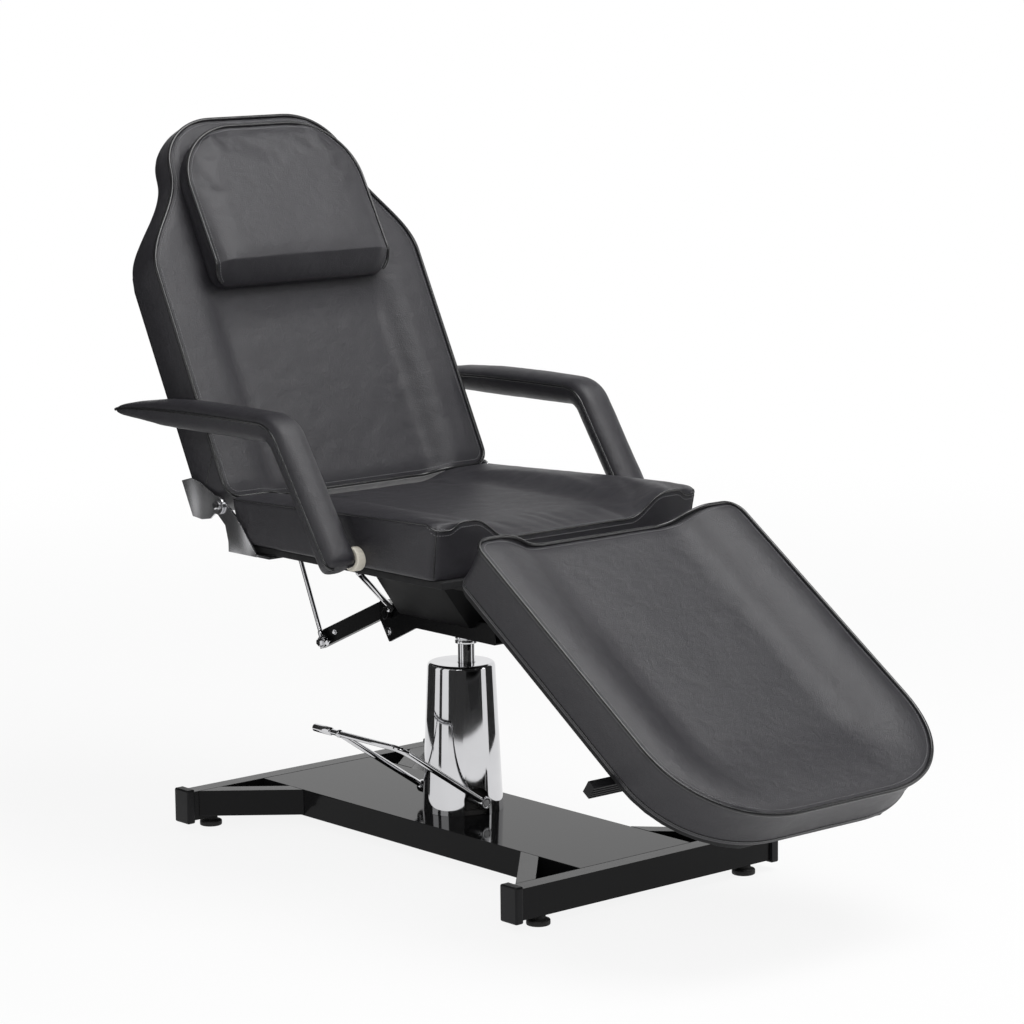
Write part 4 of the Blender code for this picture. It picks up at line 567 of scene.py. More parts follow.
# Release lever: a bent and chromed steel rod with its hand end under the seat's side.
# Its hub, painted black, turns on the beam, and pressing the rod frees the gas struts.
LEVER_ROD = 0.005
LEVER_BORE = LEVER_ROD + 0.0004
LEVER_HUB = 0.010
LEVER_HUB_HALF = 0.005
LEVER_ROOT = 0.7 * LEVER_HUB
LEVER_NECK = 0.018
LEVER_BEND = 0.006
LEVER_HAND = Vector((-0.205, cover_axis.y + 0.010, 0.489))
ALONG_X = (1, 0, 0)
lever_hub = pivots["lever_press"]
toward = Vector((0, LEVER_HAND.y - lever_hub.y, LEVER_HAND.z - lever_hub.z)).normalized()
lever_path = [lever_hub + toward * LEVER_ROOT, lever_hub + toward * LEVER_NECK, LEVER_HAND]
lever_rod = swept(softened(lever_path, LEVER_BEND, steps=8), LEVER_ROD)
lever_eye = ring_line(LEVER_BORE, LEVER_HUB, -LEVER_HUB_HALF, LEVER_HUB_HALF, edge=0.001, steps=3)
put("lever_bent", lever_rod, chrome, "lever", "release_lever")
put("lever_hub", turned(lever_eye, lever_hub, ALONG_X, steps=36), paint, "lever")

# Seat: a foam pad on a plywood board, boxed and sewn in black leather cloth, stapled under the board.
# The front top edge is a folded seam with two rows of stitches that follows the two bolsters.
BOARD_TOP = 0.5187
SEAT_LOW = 0.519
SEAT_HALF = 0.279
SEAT_FRONT = cover_axis.y - 0.280
SEAT_REAR = cover_axis.y + 0.2555
SEAT_FRONT_RAKE = 0.010
SEAT_REAR_RAKE = 0.020
SEAT_REAR_SWELL = 0.013
SEAT_SWELL_AT = 0.45
SEAT_MIDDLE = 0.059
SEAT_EDGE_FRONT = 0.090
SEAT_EDGE_REAR = 0.071
SEAT_CORNER_DROP = 0.011
SEAT_CORNER_IN = 0.026
SEAT_COLUMNS = 84
SEAT_SIDES = (("left", 1), ("right", -1))
FRONT_SEAM_DEEP = 0.02
SIDE_SEAM_IN = 0.012
SIDE_SEAM_START = 0.01
CORNER_SEAM_IN = 0.004
CORNER_SEAM_LONG = 0.088
SEAM_STEPS = 20
CREST = 0.005
CREST_IN = 0.030
ROLL_IN = 0.055
ROLL_END = 0.135
CORNER = 0.028
BOXING_IN = 0.003
PITCH = 0.0066
WALK_STEPS = 4000
TINY = 1e-9
SIDE_BANDS = 10
UNDER_SHARE = 0.985
CLOTH_STEPS = 20
CLOTH = {
    "quality": 6, "mass": 0.4, "tension_stiffness": 30, "compression_stiffness": 30, "shear_stiffness": 12,
    "bending_stiffness": 1.5, "air_damping": 3, "use_pressure": True, "vertex_group_mass": "sewn"}
BROAD_WAVES = 11.0
FINE_WAVES = 34.0
FINE_SHIFT = Vector((5, 2, 9))
FOLD_WAVES = Vector((16, 30, 30))
STITCH = {"Pitch": 0.0048, "Length": 0.0036, "Radius": 0.0007}
SEAT_WELT = {"Pitch": 0.004, "Radius": 0.0016}
WIDE_SEAM = {"Pitch": 0.005, "Radius": 0.0012}
THIN_SEAM = {"Pitch": 0.005, "Radius": 0.0011}
SEAT_STITCH_LIFT = 0.0002
SEAT_STITCH_ROWS = (("inner", Vector((0, 0.007, 0))), ("lower", Vector((0, -0.001, -0.008))))

board = mottled("wrapped_board", (0.012, 0.012, 0.013), (0.022, 0.022, 0.023), cloud=(40.0, 4.0),
                rough=(0.7, 0.2), wear=(150.0,), shine=0.3)
weave = board.node("ShaderNodeTexWave", {"wave_type": "BANDS", "bands_direction": "DIAGONAL"},
                   {"Vector": board.place, "Scale": 260.0, "Distortion": 1.5}, out=1)
board.set(normal=board.bump(weave, distance=0.0003, strength=0.4))
leather = Finish("black_leather", specular_ior_level=0.45)
cloud = leather.noise(5.0, detail=3.0, distortion=0.4)
cells = leather.node("ShaderNodeTexVoronoi", {"feature": "DISTANCE_TO_EDGE"},
                     {"Vector": leather.place, "Scale": 340.0, "Randomness": 1.0})
pores = leather.noise(1500.0)
creases = leather.noise(46.0, detail=5.0, distortion=1.2)
grain = leather.bump(cells ** 0.5 + 0.35 * pores, distance=0.0005, strength=0.65)
# Base colour: random mottling from the clouds, plus painted shade: darker along the edges of the grain's
# cells and in the low parts of the creases, where the bumps sink.
tone_and_crease_shade = 0.4 * cloud + 0.5 * creases + 0.8 * cells
leather.set(
    base_color=leather.blend(tone_and_crease_shade, (0.0150, 0.0144, 0.0175), (0.0300, 0.0287, 0.0340)),
    roughness=0.35 + 0.14 * creases + 0.06 * pores,
    normal=leather.bump(creases, distance=0.0022, strength=0.3, under=grain),
)
# Stitch thread: its grey, far lighter than the black cover, is partly the thread's own tone and partly a
# painted highlight on the stitches.
thread = mottled("black_leather", (0.10, 0.10, 0.105), (0.20, 0.20, 0.21), cloud=(900.0,), rough=(0.45, 0.1),
                 wear=(300.0,), name="thread", shine=0.5)
# Welt: the cover's own leather, coloured darker than the panels, which is painted shade along the seams
# beside it.
welt = mottled("black_leather", (0.009, 0.009, 0.010), (0.015, 0.015, 0.016), cloud=(900.0, 3.0),
               rough=(0.20, 0.12), bump=(0.00015, 0.4), name="welt", shine=0.6)


def clamp(t):
    return min(max(t, 0), 1)


def ease(t):
    return (1 - cos(pi * clamp(t))) / 2


def crest(inward):
    return sin(pi / 2 * clamp(inward / CREST_IN))


def crown(inward, ends):
    return CREST * min(crest(inward), crest(ends))


def dip(inward):
    return ease((inward - ROLL_IN) / (ROLL_END - ROLL_IN))


def corner_width(half, inward):
    left = CORNER - min(max(inward, 0), CORNER)
    return half - CORNER + sqrt(CORNER**2 - left**2)


def even_rows(start, stop, half_of):
    """Places along a pad that step evenly round its outline."""
    fine = [start + (stop - start) * k / WALK_STEPS for k in range(WALK_STEPS + 1)]
    walked = [0.0]
    for one, two in zip(fine, fine[1:]):
        walked.append(walked[-1] + hypot(two - one, half_of(two) - half_of(one)))
    steps = round(walked[-1] / PITCH)
    goals = [walked[-1] * step / steps - TINY for step in range(steps + 1)]
    return [fine[bisect_left(walked, goal)] for goal in goals]


def sewn_pad(start, stop, half_of, front_of, low_of, place, boxing_in, columns, folds=()):
    """A pad with a front panel on a grid, boxing that is drawn in between its seams, and an underside: its
    points and faces, its rings of points from the rim down, the rim's inward directions in the pad's plane,
    and the points that the seams and folds hold."""
    rows = sorted(even_rows(start, stop, half_of) + list(folds))
    shares = [2 * k / columns - 1 for k in range(columns + 1)]
    points, faces, grid = [], [], {}
    for i, s in enumerate(rows):
        for k, share in enumerate(shares):
            grid[i, k] = len(points)
            points.append(place(share * half_of(s), s, front_of(share, s)))
    top, last = len(rows) - 1, columns
    border = [(i, 0) for i in range(top)] + [(top, k) for k in range(last)]
    border += [(i, last) for i in range(top, 0, -1)] + [(0, k) for k in range(last, 0, -1)]
    size = len(border)
    flat = [Vector((shares[k] * half_of(rows[i]), rows[i])) for i, k in border]
    inward = []
    for n in range(size):
        run = flat[(n + 1) % size] - flat[n - 1]
        inward.append(Vector((run.y, -run.x)).normalized())
    rings = [[grid[spot] for spot in border]]
    for band in range(1, SIDE_BANDS + 1):
        down = band / SIDE_BANDS
        rings.append(list(range(len(points), len(points) + size)))
        for n, (i, k) in enumerate(border):
            high, low = front_of(shares[k], rows[i]), low_of(rows[i])
            spot = flat[n] + inward[n] * (boxing_in * sin(pi * down))
            points.append(place(spot.x, spot.y, high + (low - high) * down))
    under = dict(zip(border, rings[-1]))
    for i in range(1, top):
        for k in range(1, last):
            under[i, k] = len(points)
            points.append(place(shares[k] * half_of(rows[i]) * UNDER_SHARE, rows[i], low_of(rows[i])))
    for i in range(top):
        for k in range(last):
            faces.append((grid[i, k], grid[i, k + 1], grid[i + 1, k + 1], grid[i + 1, k]))
            faces.append((under[i, k], under[i + 1, k], under[i + 1, k + 1], under[i, k + 1]))
    for upper, lower in zip(rings, rings[1:]):
        for n in range(size):
            faces.append((upper[n], upper[(n + 1) % size], lower[(n + 1) % size], lower[n]))
    held = {*rings[0], *under.values(), *(grid[rows.index(s), k] for s in folds for k in range(columns + 1))}
    return (points, faces), [[points[k] for k in ring] for ring in rings], inward, held


def ripple(spot):
    """The wrinkles of a leather cover at a place, in shares of their size."""
    broad = noise.noise(spot * BROAD_WAVES)
    fine = noise.noise(spot * FINE_WAVES + FINE_SHIFT)
    fold = 1 - abs(noise.noise(spot * FOLD_WAVES) * 2)
    return 1.2 * broad + 0.6 * fine - 0.8 * max(fold, 0) ** 4


def stuffed(name, shape, held, body, covered, pressure=4.0, swell=0.006, wrinkle=0.0006):
    """A padded piece: a leather cover with its seams held, filled by pressure, then wrinkled a little."""
    made = solid(name, shape, merge=False)
    mesh = made.data
    mesh.materials.append(leather.material)
    made.vertex_groups.new(name="sewn").add(sorted(held), 1.0, "REPLACE")
    cloth = made.modifiers.new("stuffing", "CLOTH")
    for key, value in CLOTH.items():
        setattr(cloth.settings, key, value)
    cloth.settings.uniform_pressure_force = pressure
    cloth.settings.effector_weights.gravity = 0
    cloth.collision_settings.use_collision = False
    for step in range(1, CLOTH_STEPS + 1):
        scene.frame_set(step)
    blown = made.evaluated_get(bpy.context.evaluated_depsgraph_get())
    moves = [after.co - before.co for after, before in zip(blown.to_mesh().vertices, mesh.vertices)]
    blown.to_mesh_clear()
    made.modifiers.remove(cloth)
    scene.frame_set(1)
    for vertex, move in zip(mesh.vertices, moves):
        if move.length > swell:
            move *= swell / move.length
        vertex.co += move
    made.vertex_groups.clear()
    mesh.update()
    normals = [vertex.normal.copy() for vertex in mesh.vertices]
    for vertex, normal in zip(mesh.vertices, normals):
        if vertex.index not in held:
            vertex.co += normal * (wrinkle * ripple(vertex.co))
    mesh.update()
    modify(made, "SUBSURF", levels=1, render_levels=1)
    keep(made, body, covered)
    return made


def straight(start, stop):
    """Points along a straight seam."""
    return [start.lerp(stop, k / SEAM_STEPS) for k in range(SEAM_STEPS + 1)]


def laid(made, path, lift=0.0):
    """The path dropped onto a pad's surface and lifted off it a little."""
    tree = BVHTree.FromObject(made, bpy.context.evaluated_depsgraph_get())
    spots = []
    for point in path:
        spot, normal, _, _ = tree.find_nearest(point)
        spots.append(spot + normal * lift)
    return spots


def grown(name, path, sizes, body, closed=False):
    """A row of stitches, or a welt, that a Geometry Nodes group builds along a line of points."""
    build, finish = (stitches, thread) if "Length" in sizes else (piping, welt)
    count = len(path)
    edges = [(k, (k + 1) % count) for k in range(count if closed else count - 1)]
    made = added(name, path, [], edges)
    group = bpy.data.node_groups.new(name, "GeometryNodeTree")
    sockets = {"Line": "Geometry", **dict.fromkeys(sizes, "Float"), "Finish": "Material"}
    for label, kind in sockets.items():
        group.interface.new_socket(label, in_out="INPUT", socket_type=f"NodeSocket{kind}")
    group.interface.new_socket("Piece", in_out="OUTPUT", socket_type="NodeSocketGeometry")
    graph = Graph(group)
    entry = graph.node("NodeGroupInput").socket.node
    given = {socket.name: Value(graph, socket) for socket in entry.outputs if socket.name}
    line = graph.node("GeometryNodeMeshToCurve", None, {"Mesh": given["Line"]})
    spaced = {"Curve": line, "Length": given["Pitch"]}
    line = graph.node("GeometryNodeResampleCurve", {"mode": "LENGTH"}, spaced)
    piece = graph.node("GeometryNodeRealizeInstances", None, {0: build(graph, line, given)})
    piece = graph.node("GeometryNodeSetMaterial", None, {"Geometry": piece, "Material": given["Finish"]})
    graph.node("NodeGroupOutput", None, {0: piece}, out=None)
    grow = modify(made, "NODES", node_group=group)
    values = {**sizes, "Finish": finish.material}
    for item in group.interface.items_tree:
        if item.name in values:
            grow[item.identifier] = values[item.name]
    settle(made, grow)
    keep(made, body)


def stitches(graph, line, given):
    """Short threads laid end to end along the line."""
    bead = graph.node("GeometryNodeMeshUVSphere", None, {"Segments": 8, "Rings": 6, "Radius": 1.0})
    run = graph.node("GeometryNodeInputTangent")
    turn = graph.node("FunctionNodeAlignRotationToVector", {"axis": "Z"}, {"Vector": run})
    thick = given["Radius"]
    size = graph.node("ShaderNodeCombineXYZ", None, {"X": thick, "Y": thick, "Z": given["Length"] * 0.5})
    return graph.node("GeometryNodeInstanceOnPoints", None,
                      {"Points": line, "Instance": bead, "Rotation": turn, "Scale": size})


def piping(graph, line, given):
    """A round welt swept along the line."""
    ring = graph.node("GeometryNodeCurvePrimitiveCircle", None, {"Resolution": 10, "Radius": given["Radius"]})
    inputs = {"Curve": line, "Profile Curve": ring, "Fill Caps": True}
    return graph.node("GeometryNodeCurveToMesh", None, inputs)


def seat_half(y):
    return corner_width(SEAT_HALF, 2 * min(y - SEAT_FRONT, SEAT_REAR - y))


def seat_along(y):
    return (y - SEAT_FRONT) / (SEAT_REAR - SEAT_FRONT)


def seat_top(share, y):
    edge = SEAT_EDGE_FRONT + (SEAT_EDGE_REAR - SEAT_EDGE_FRONT) * seat_along(y)
    inward = (1 - abs(share)) * SEAT_HALF
    rise = crown(inward, min(y - SEAT_FRONT, SEAT_REAR - y))
    near_side, near_front = 1 - ease(inward / SEAT_CORNER_IN), 1 - ease((y - SEAT_FRONT) / SEAT_CORNER_IN)
    rise -= SEAT_CORNER_DROP * near_side * near_front
    return BOARD_TOP + edge + rise - (edge + CREST - SEAT_MIDDLE) * dip(inward)


def seat_place(x, y, z):
    """A place in the seat pad: its front and rear thirds lean, and its last sixth swells."""
    along = seat_along(y)
    deep = clamp((BOARD_TOP + SEAT_EDGE_FRONT - z) / SEAT_EDGE_FRONT)
    lean = SEAT_FRONT_RAKE * max(1 - 3 * along, 0) - SEAT_REAR_RAKE * max(3 * along - 2, 0)
    bulge = exp(-(((deep - SEAT_SWELL_AT) / SEAT_SWELL_AT) ** 2) * 2)
    return Vector((x, y + lean * deep + SEAT_REAR_SWELL * max(6 * along - 5, 0) * bulge, z))


dress(["seat_board"], board, edge=0.002)
seat_shape, (rim, *_), _, held = sewn_pad(
    SEAT_FRONT, SEAT_REAR, seat_half, seat_top, lambda y: SEAT_LOW, seat_place, BOXING_IN, SEAT_COLUMNS)
seat = stuffed("seat_cushion", seat_shape, held, "upper_frame", "seat_pad")
front_line = sorted((p for p in rim if p.y < SEAT_FRONT + FRONT_SEAM_DEEP), key=lambda p: p.x)
front_welt = laid(seat, front_line, SEAT_STITCH_LIFT)
grown("seat_welt", front_welt, SEAT_WELT, "upper_frame")
for label, shift in SEAT_STITCH_ROWS:
    line = laid(seat, [point + shift for point in front_line], SEAT_STITCH_LIFT)
    grown(f"seat_stitch_{label}", line, STITCH, "upper_frame")
for label, sign in SEAT_SIDES:
    edge = [p for p in rim if p.x * sign > SEAT_HALF - SIDE_SEAM_IN and p.y > SEAT_FRONT + SIDE_SEAM_START]
    edge = laid(seat, sorted(edge, key=lambda p: p.y))
    grown(f"seat_seam_{label}", edge, WIDE_SEAM, "upper_frame")
    x, y, z = sign * (SEAT_HALF - CORNER_SEAM_IN), SEAT_FRONT + CORNER_SEAM_IN, BOARD_TOP + SEAT_EDGE_FRONT
    corner = straight(seat_place(x, y, z), seat_place(x, y, z - CORNER_SEAM_LONG))
    grown(f"seat_corner_{label}", laid(seat, corner), THIN_SEAM, "upper_frame")

# Seat to back hinge: on each side a pressed and chromed plate under the seat and one behind the back.
# A bolt with a washer and a nut joins the two plates, and the back turns on it.
NUT_RADIUS = 0.0072
NUT_HIGH = 0.003
pressed = mottled("chrome", (0.55, 0.55, 0.565), (0.66, 0.66, 0.675), cloud=(9.0, 0.0, 0.2),
                  rough=(0.12, 0.14), bump=(0.03, 0.5), name="pressed_chrome", metallic=1.0)
back_hinge = pivots["back_recline"]
nut_line = ring_line(0, NUT_RADIUS, 0, NUT_HIGH, edge=0.0005)
for side, sign in reversed(SEAT_SIDES):
    dress([f"seat_hinge_plate_{side}", f"back_hinge_plate_{side}"], pressed, edge=0.0009)
    low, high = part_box(f"back_hinge_bolt_{side}")
    inner, outer = (Vector((sign * x, back_hinge.y, back_hinge.z)) for x in sorted((abs(low.x), abs(high.x))))
    start = outer - Vector((sign * BOLT_HIGH, 0, 0))
    bolt = hex_bolt(start, outer, (start - inner).length, head=0.0068, washer=0.0080)
    nut = turned(nut_line, inner, (sign, 0, 0), steps=6)
    put(f"hinge_bolt_{side}", joined(bolt, nut), chrome, "back", f"back_hinge_bolt_{side}")

# Back: a foam pad on a shaped plywood board, with two soft bolsters and boxed sides.
# It is sewn in the seat's leather cloth, with a round welt and a row of stitches round its front edge.
BACK_ANGLE = radians(63)
BACK_FRONT = 0.021
BACK_LOW = -0.0567
BACK_START = 0.003
BACK_END = 0.678
BACK_HALF = 0.280
BACK_DIP = 0.020
BACK_FLARE = 0.004
SHOULDER = (0.408, 0.592)
HEAD_HALF = 0.190
HEAD_TOP_HALF = 0.078
HEAD_CORNER = 0.093
HEAD_LOW = -0.026
HEAD_THIN = (0.445, 0.585)
PILLOW_FOOT = 0.365
PAD_COLUMNS = 80
CHANNEL = 0.0035
CHANNEL_IN = 0.108
CHANNEL_WIDE = 0.016
WELT = {"Pitch": 0.004, "Radius": 0.0033}
WELT_PROUD = 0.0013
STITCH_IN = 0.009
STITCH_LIFT = 0.0001
BACK_SEAM_X = 0.2835
BACK_SEAM = ((0.004, -0.054), (0.079, 0.016))
LUG_EDGE = 0.0006
back_up = Vector((0, cos(BACK_ANGLE), sin(BACK_ANGLE)))
back_out = Vector((0, -sin(BACK_ANGLE), cos(BACK_ANGLE)))


def channel(inward):
    return CHANNEL * exp(-(((inward - CHANNEL_IN) / CHANNEL_WIDE) ** 2))


def rounded_end(half, end_half, along, end, reach, power=2):
    """A half width that curves in to the end's over the last reach of a pad."""
    into = max((along - end + reach) / reach, 0)
    return end_half + (half - end_half) * max(1 - into**power, 0) ** (1 / power)


def trim(name, made, rim, inward, along, out, sizes, reach, closed):
    """A pad's round welt, which stands proud of its rim, and a row of stitches inside it."""
    grown(f"{name}_welt", [point + out * WELT_PROUD for point in rim], sizes, name, closed)
    line = []
    for point, turn in zip(rim, inward):
        line.append(point + Vector((turn.x, 0, 0)) * reach + along * turn.y * reach)
    grown(f"{name}_stitch", laid(made, line, STITCH_LIFT), STITCH, name, closed)


def plane(hinge, up, out):
    """Places in a pad's own plane: across, along and out of it."""
    return lambda x, along, high: hinge + Vector((x, 0, 0)) + up * along + out * high


on_back = plane(back_hinge, back_up, back_out)


def back_half(s):
    if s < BACK_START + CORNER:
        return corner_width(BACK_HALF, s - BACK_START)
    width = BACK_HALF - (BACK_HALF - HEAD_HALF) * ease((s - SHOULDER[0]) / (SHOULDER[1] - SHOULDER[0]))
    return rounded_end(width, HEAD_TOP_HALF, s, BACK_END, HEAD_CORNER)


def back_front(share, s):
    inward = (1 - abs(share)) * BACK_HALF
    ends = min(s - BACK_START, BACK_END - s)
    fade = 1 - ease((s - PILLOW_FOOT + ROLL_END / 2) / ROLL_END)
    sunk = fade * (BACK_DIP * dip(inward) + channel(inward))
    return BACK_FRONT + crown(inward, ends) - sunk


def back_low(s):
    return BACK_LOW + (HEAD_LOW - BACK_LOW) * ease((s - HEAD_THIN[0]) / (HEAD_THIN[1] - HEAD_THIN[0]))


dress(["back_board"], board, edge=0.002)
dress(["back_strut_lug"], paint, LUG_EDGE)
back_shape, rings, inward, held = sewn_pad(
    BACK_START, BACK_END, back_half, back_front, back_low, on_back, -BACK_FLARE, PAD_COLUMNS)
back = stuffed("back_cushion", back_shape, held, "back", "back_pad")
trim("back", back, rings[0], inward, back_up, back_out, WELT, STITCH_IN, closed=True)
for label, sign in SEAT_SIDES:
    seam = straight(*(on_back(sign * BACK_SEAM_X, along, out) for along, out in BACK_SEAM))
    grown(f"back_side_seam_{label}", laid(back, seam), WIDE_SEAM, "back")

# Pillow: a wedge of foam sewn in leather cloth with a round welt round its front panel.
# It is held to the back by a strap behind, so that it can be slid along.
PILLOW_END = 0.652
PILLOW_REAR = 0.0263
PILLOW_HALF = 0.184
PILLOW_TOP_HALF = 0.060
PILLOW_ROUND = 0.110
PILLOW_FOLD = 0.036
PILLOW_FOLD_POWER = 0.75
PILLOW_THICK = 0.046
PILLOW_TOP_THICK = 0.032
PILLOW_FOOT_SHARE = 0.2
PILLOW_EDGE_SHARE = 0.7
PILLOW_BOXING_IN = 0.001
PILLOW_COLUMNS = 60
PILLOW_WELT = {"Pitch": 0.004, "Radius": 0.0029}
PILLOW_WELT_FOOT = 0.006
PILLOW_STITCH_IN = 0.008


def pillow_half(s):
    start = corner_width(PILLOW_HALF, s - PILLOW_FOOT)
    return rounded_end(start, PILLOW_TOP_HALF, s, PILLOW_END, PILLOW_ROUND)


def pillow_front(share, s):
    up = s - PILLOW_FOOT
    if up < PILLOW_FOLD:
        fold = (max(up, 0) / PILLOW_FOLD) ** PILLOW_FOLD_POWER
        thick = PILLOW_THICK * (PILLOW_FOOT_SHARE + (1 - PILLOW_FOOT_SHARE) * fold)
    else:
        above = (up - PILLOW_FOLD) / (PILLOW_END - PILLOW_FOOT - PILLOW_FOLD)
        thick = PILLOW_THICK + (PILLOW_TOP_THICK - PILLOW_THICK) * above
    inward = min((1 - abs(share)) * PILLOW_HALF, PILLOW_END - s)
    return PILLOW_REAR + thick * (PILLOW_EDGE_SHARE + (1 - PILLOW_EDGE_SHARE) * crest(inward))


pillow_shape, rings, inward, held = sewn_pad(
    PILLOW_FOOT, PILLOW_END, pillow_half, pillow_front, lambda s: PILLOW_REAR, on_back, PILLOW_BOXING_IN,
    PILLOW_COLUMNS, folds=[PILLOW_FOOT + PILLOW_FOLD])
pillow = stuffed("pillow_cushion", pillow_shape, held, "pillow", "pillow", pressure=2.0, swell=0.003)
heights = [point.dot(back_up) for point in rings[0]]
welt_foot = min(heights) + PILLOW_WELT_FOOT
first = next(k for k in range(len(heights)) if heights[k - 1] <= welt_foot < heights[k])
sides = [k for k in (*range(first, len(heights)), *range(first)) if heights[k] > welt_foot]
trim("pillow", pillow, [rings[0][k] for k in sides], [inward[k] for k in sides], back_up, back_out,
     PILLOW_WELT, PILLOW_STITCH_IN, closed=False)

# Leg rest: a foam pad with a round foot end on a plywood board, hung on two steel straps.
# A grooved plastic bar lies across under it, screwed to the straps.
LEG_ANGLE = radians(34.5)
LEG_FRONT = 0.1155
LEG_LOW = 0.0378
LEG_START = -0.015
LEG_END = 0.617
LEG_HALF = 0.277
LEG_DIP = 0.032
LEG_ROLL = (0.032, 0.148)
LEG_CHANNEL_SHARE = 0.5
LEG_ROUND = 0.180
LEG_ROUND_POWER = 2.2
LEG_END_RAKE = 0.016
LEG_END_HALF = 0.090
LEG_FADE = 0.200
BAR_HALF = 0.310
BAR_NEAR, BAR_FAR = 0.4083, 0.4243
BAR_HIGH, BAR_LOW = 0.0252, 0.0032
BAR_EDGE = 0.0009
GROOVES = 4
GROOVE_START = 0.003
GROOVE_PITCH = 0.0048
GROOVE_LINE = ((0, 0), (0.0012, 0.0008), (0.0012, 0.0018), (0, 0.0026))
leg_down = Vector((0, -cos(LEG_ANGLE), -sin(LEG_ANGLE)))
leg_out = Vector((0, -sin(LEG_ANGLE), cos(LEG_ANGLE)))
on_leg = plane(pivots["leg_raise"], leg_down, leg_out)


def leg_half(t):
    start = corner_width(LEG_HALF, t - LEG_START)
    return rounded_end(start, LEG_END_HALF, t, LEG_END, LEG_ROUND, LEG_ROUND_POWER)


def leg_front(share, t):
    inward = (1 - abs(share)) * LEG_HALF
    ends = min(t - LEG_START, LEG_END - t)
    fade = 1 - ease((t - LEG_END + LEG_FADE) / LEG_FADE)
    roll = ease((inward - LEG_ROLL[0]) / (LEG_ROLL[1] - LEG_ROLL[0]))
    sunk = fade * (LEG_DIP * roll + LEG_CHANNEL_SHARE * channel(inward))
    return LEG_FRONT + crown(inward, ends) - sunk


def leg_place(x, t, out):
    """A place in the leg pad, whose foot end leans in below."""
    deep = clamp((LEG_FRONT - out) / (LEG_FRONT - LEG_LOW))
    into = max((t - LEG_END + LEG_ROUND) / LEG_ROUND, 0)
    return on_leg(x, t - LEG_END_RAKE * deep * into, out)


dress(["leg_board"], board, edge=0.002)
dress(["leg_strut_lug"], paint, LUG_EDGE)
dress(["leg_strap_left", "leg_strap_right"], paint, edge=0.0008)
leg_shape, rings, inward, held = sewn_pad(
    LEG_START, LEG_END, leg_half, leg_front, lambda t: LEG_LOW, leg_place, BOXING_IN, PAD_COLUMNS)
leg = stuffed("leg_cushion", leg_shape, held, "leg", "leg_pad")
trim("leg", leg, rings[0], inward, leg_down, leg_out, WELT, STITCH_IN, closed=True)
grown("leg_low_seam", laid(leg, rings[-2]), THIN_SEAM, "leg", closed=True)
bar_line = [(BAR_NEAR, BAR_HIGH), (BAR_FAR, BAR_HIGH)]
for k in range(GROOVES):
    top = BAR_HIGH - GROOVE_START - k * GROOVE_PITCH
    bar_line += [(BAR_FAR - deep, top - down) for deep, down in GROOVE_LINE]
bar_line = softened(bar_line + [(BAR_FAR, BAR_LOW), (BAR_NEAR, BAR_LOW)], BAR_EDGE, steps=2, closed=True)
bar_points = [on_leg(x, t, out) for x in (-BAR_HALF, BAR_HALF) for t, out in bar_line]
put("leg_bar_grooved", (bar_points, tube_faces(2, len(bar_line))), plastic, "leg", "leg_bar")

# Arms: a steel core foamed and sewn into an elbow, with a smooth top panel, a hull below and a welt between.
# Each turns on a stud in the seat board, with an ivory nylon spacer against the seat.
ARM_MIDDLE = 0.325
ARM_HALF_WIDTH = 0.029
ARM_HALF_DEPTH = 0.024
ARM_SEAM = 0.35
ARM_SIDE_POWER, ARM_TOP_POWER, ARM_HULL_POWER = 0.7, 0.8, 0.95
ARM_TIP_Y = cover_axis.y + 0.486
ARM_ELBOW = Vector((cover_axis.y + 0.048, 0.7307))
ARM_BEND = 0.050
ARM_BEND_STEPS = 16
ARM_DROOP = 0.010
ARM_FOOT_ROUND = 0.014
ARM_SIDES = 40
ARM_STEP = 0.0065
ARM_TIP_RINGS = ((0, 0.35, 0.12, 1), (0.012, 0.7, 0.25, 0.95), (0.05, 0.92, 0.42, 0.75), (0.14, 1, 0.62, 0.5),
                 (0.3, 1, 0.88, 0.3), (0.5, 1, 1, 0.1), (0.75, 1, 1, 0))
ARM_LEG_RINGS = ((0.35, 1, 1), (0.7, 1, 1), (1, 1, 1.05))
ARM_FOOT_RINGS = ((0.6, 0.95, 1), (0.9, 0.8, 0.85), (1, 0.5, 0.6))
ARM_WELT = {"Pitch": 0.004, "Radius": 0.0026}
SPACER_BORE, SPACER_RADIUS = 0.0063, 0.0195
arm_pivot = Vector((pivots["arm_left_lift"].y, pivots["arm_left_lift"].z))
foot_run = (arm_pivot - ARM_ELBOW).normalized()
elbow_turn = acos(-foot_run.x)
elbow_reach = ARM_BEND * tan(elbow_turn / 2)


def arm_spots():
    """Stations along the arm: place, outward direction, width and depth, close enough for a fine mesh."""
    marks = []
    long = ARM_TIP_Y - ARM_ELBOW.x - elbow_reach
    for share, wide, deep, droop in ARM_TIP_RINGS:
        spot = Vector((ARM_TIP_Y - share * long, ARM_ELBOW.y - droop * ARM_DROOP))
        marks.append((spot, Vector((0, 1)), wide, deep))
    centre = Vector((ARM_ELBOW.x + elbow_reach, ARM_ELBOW.y - ARM_BEND))
    for k in range(ARM_BEND_STEPS + 1):
        angle = pi / 2 + elbow_turn * k / ARM_BEND_STEPS
        out = Vector((cos(angle), sin(angle)))
        marks.append((centre + out * ARM_BEND, out, 1, 1))
    out = Vector((foot_run.y, -foot_run.x))
    run = (arm_pivot - ARM_ELBOW).length - elbow_reach
    for share, wide, deep in ARM_LEG_RINGS:
        marks.append((ARM_ELBOW + foot_run * (elbow_reach + run * share), out, wide, deep))
    for share, wide, deep in ARM_FOOT_RINGS:
        marks.append((arm_pivot + foot_run * ARM_FOOT_ROUND * share, out, wide, deep))
    spots = []
    for one, two in zip(marks, marks[1:]):
        steps = max(1, round((two[0] - one[0]).length / ARM_STEP))
        for k in range(steps):
            t = k / steps
            spots.append(tuple(a * (1 - t) + b * t for a, b in zip(one, two)))
    return spots + [marks[-1]]


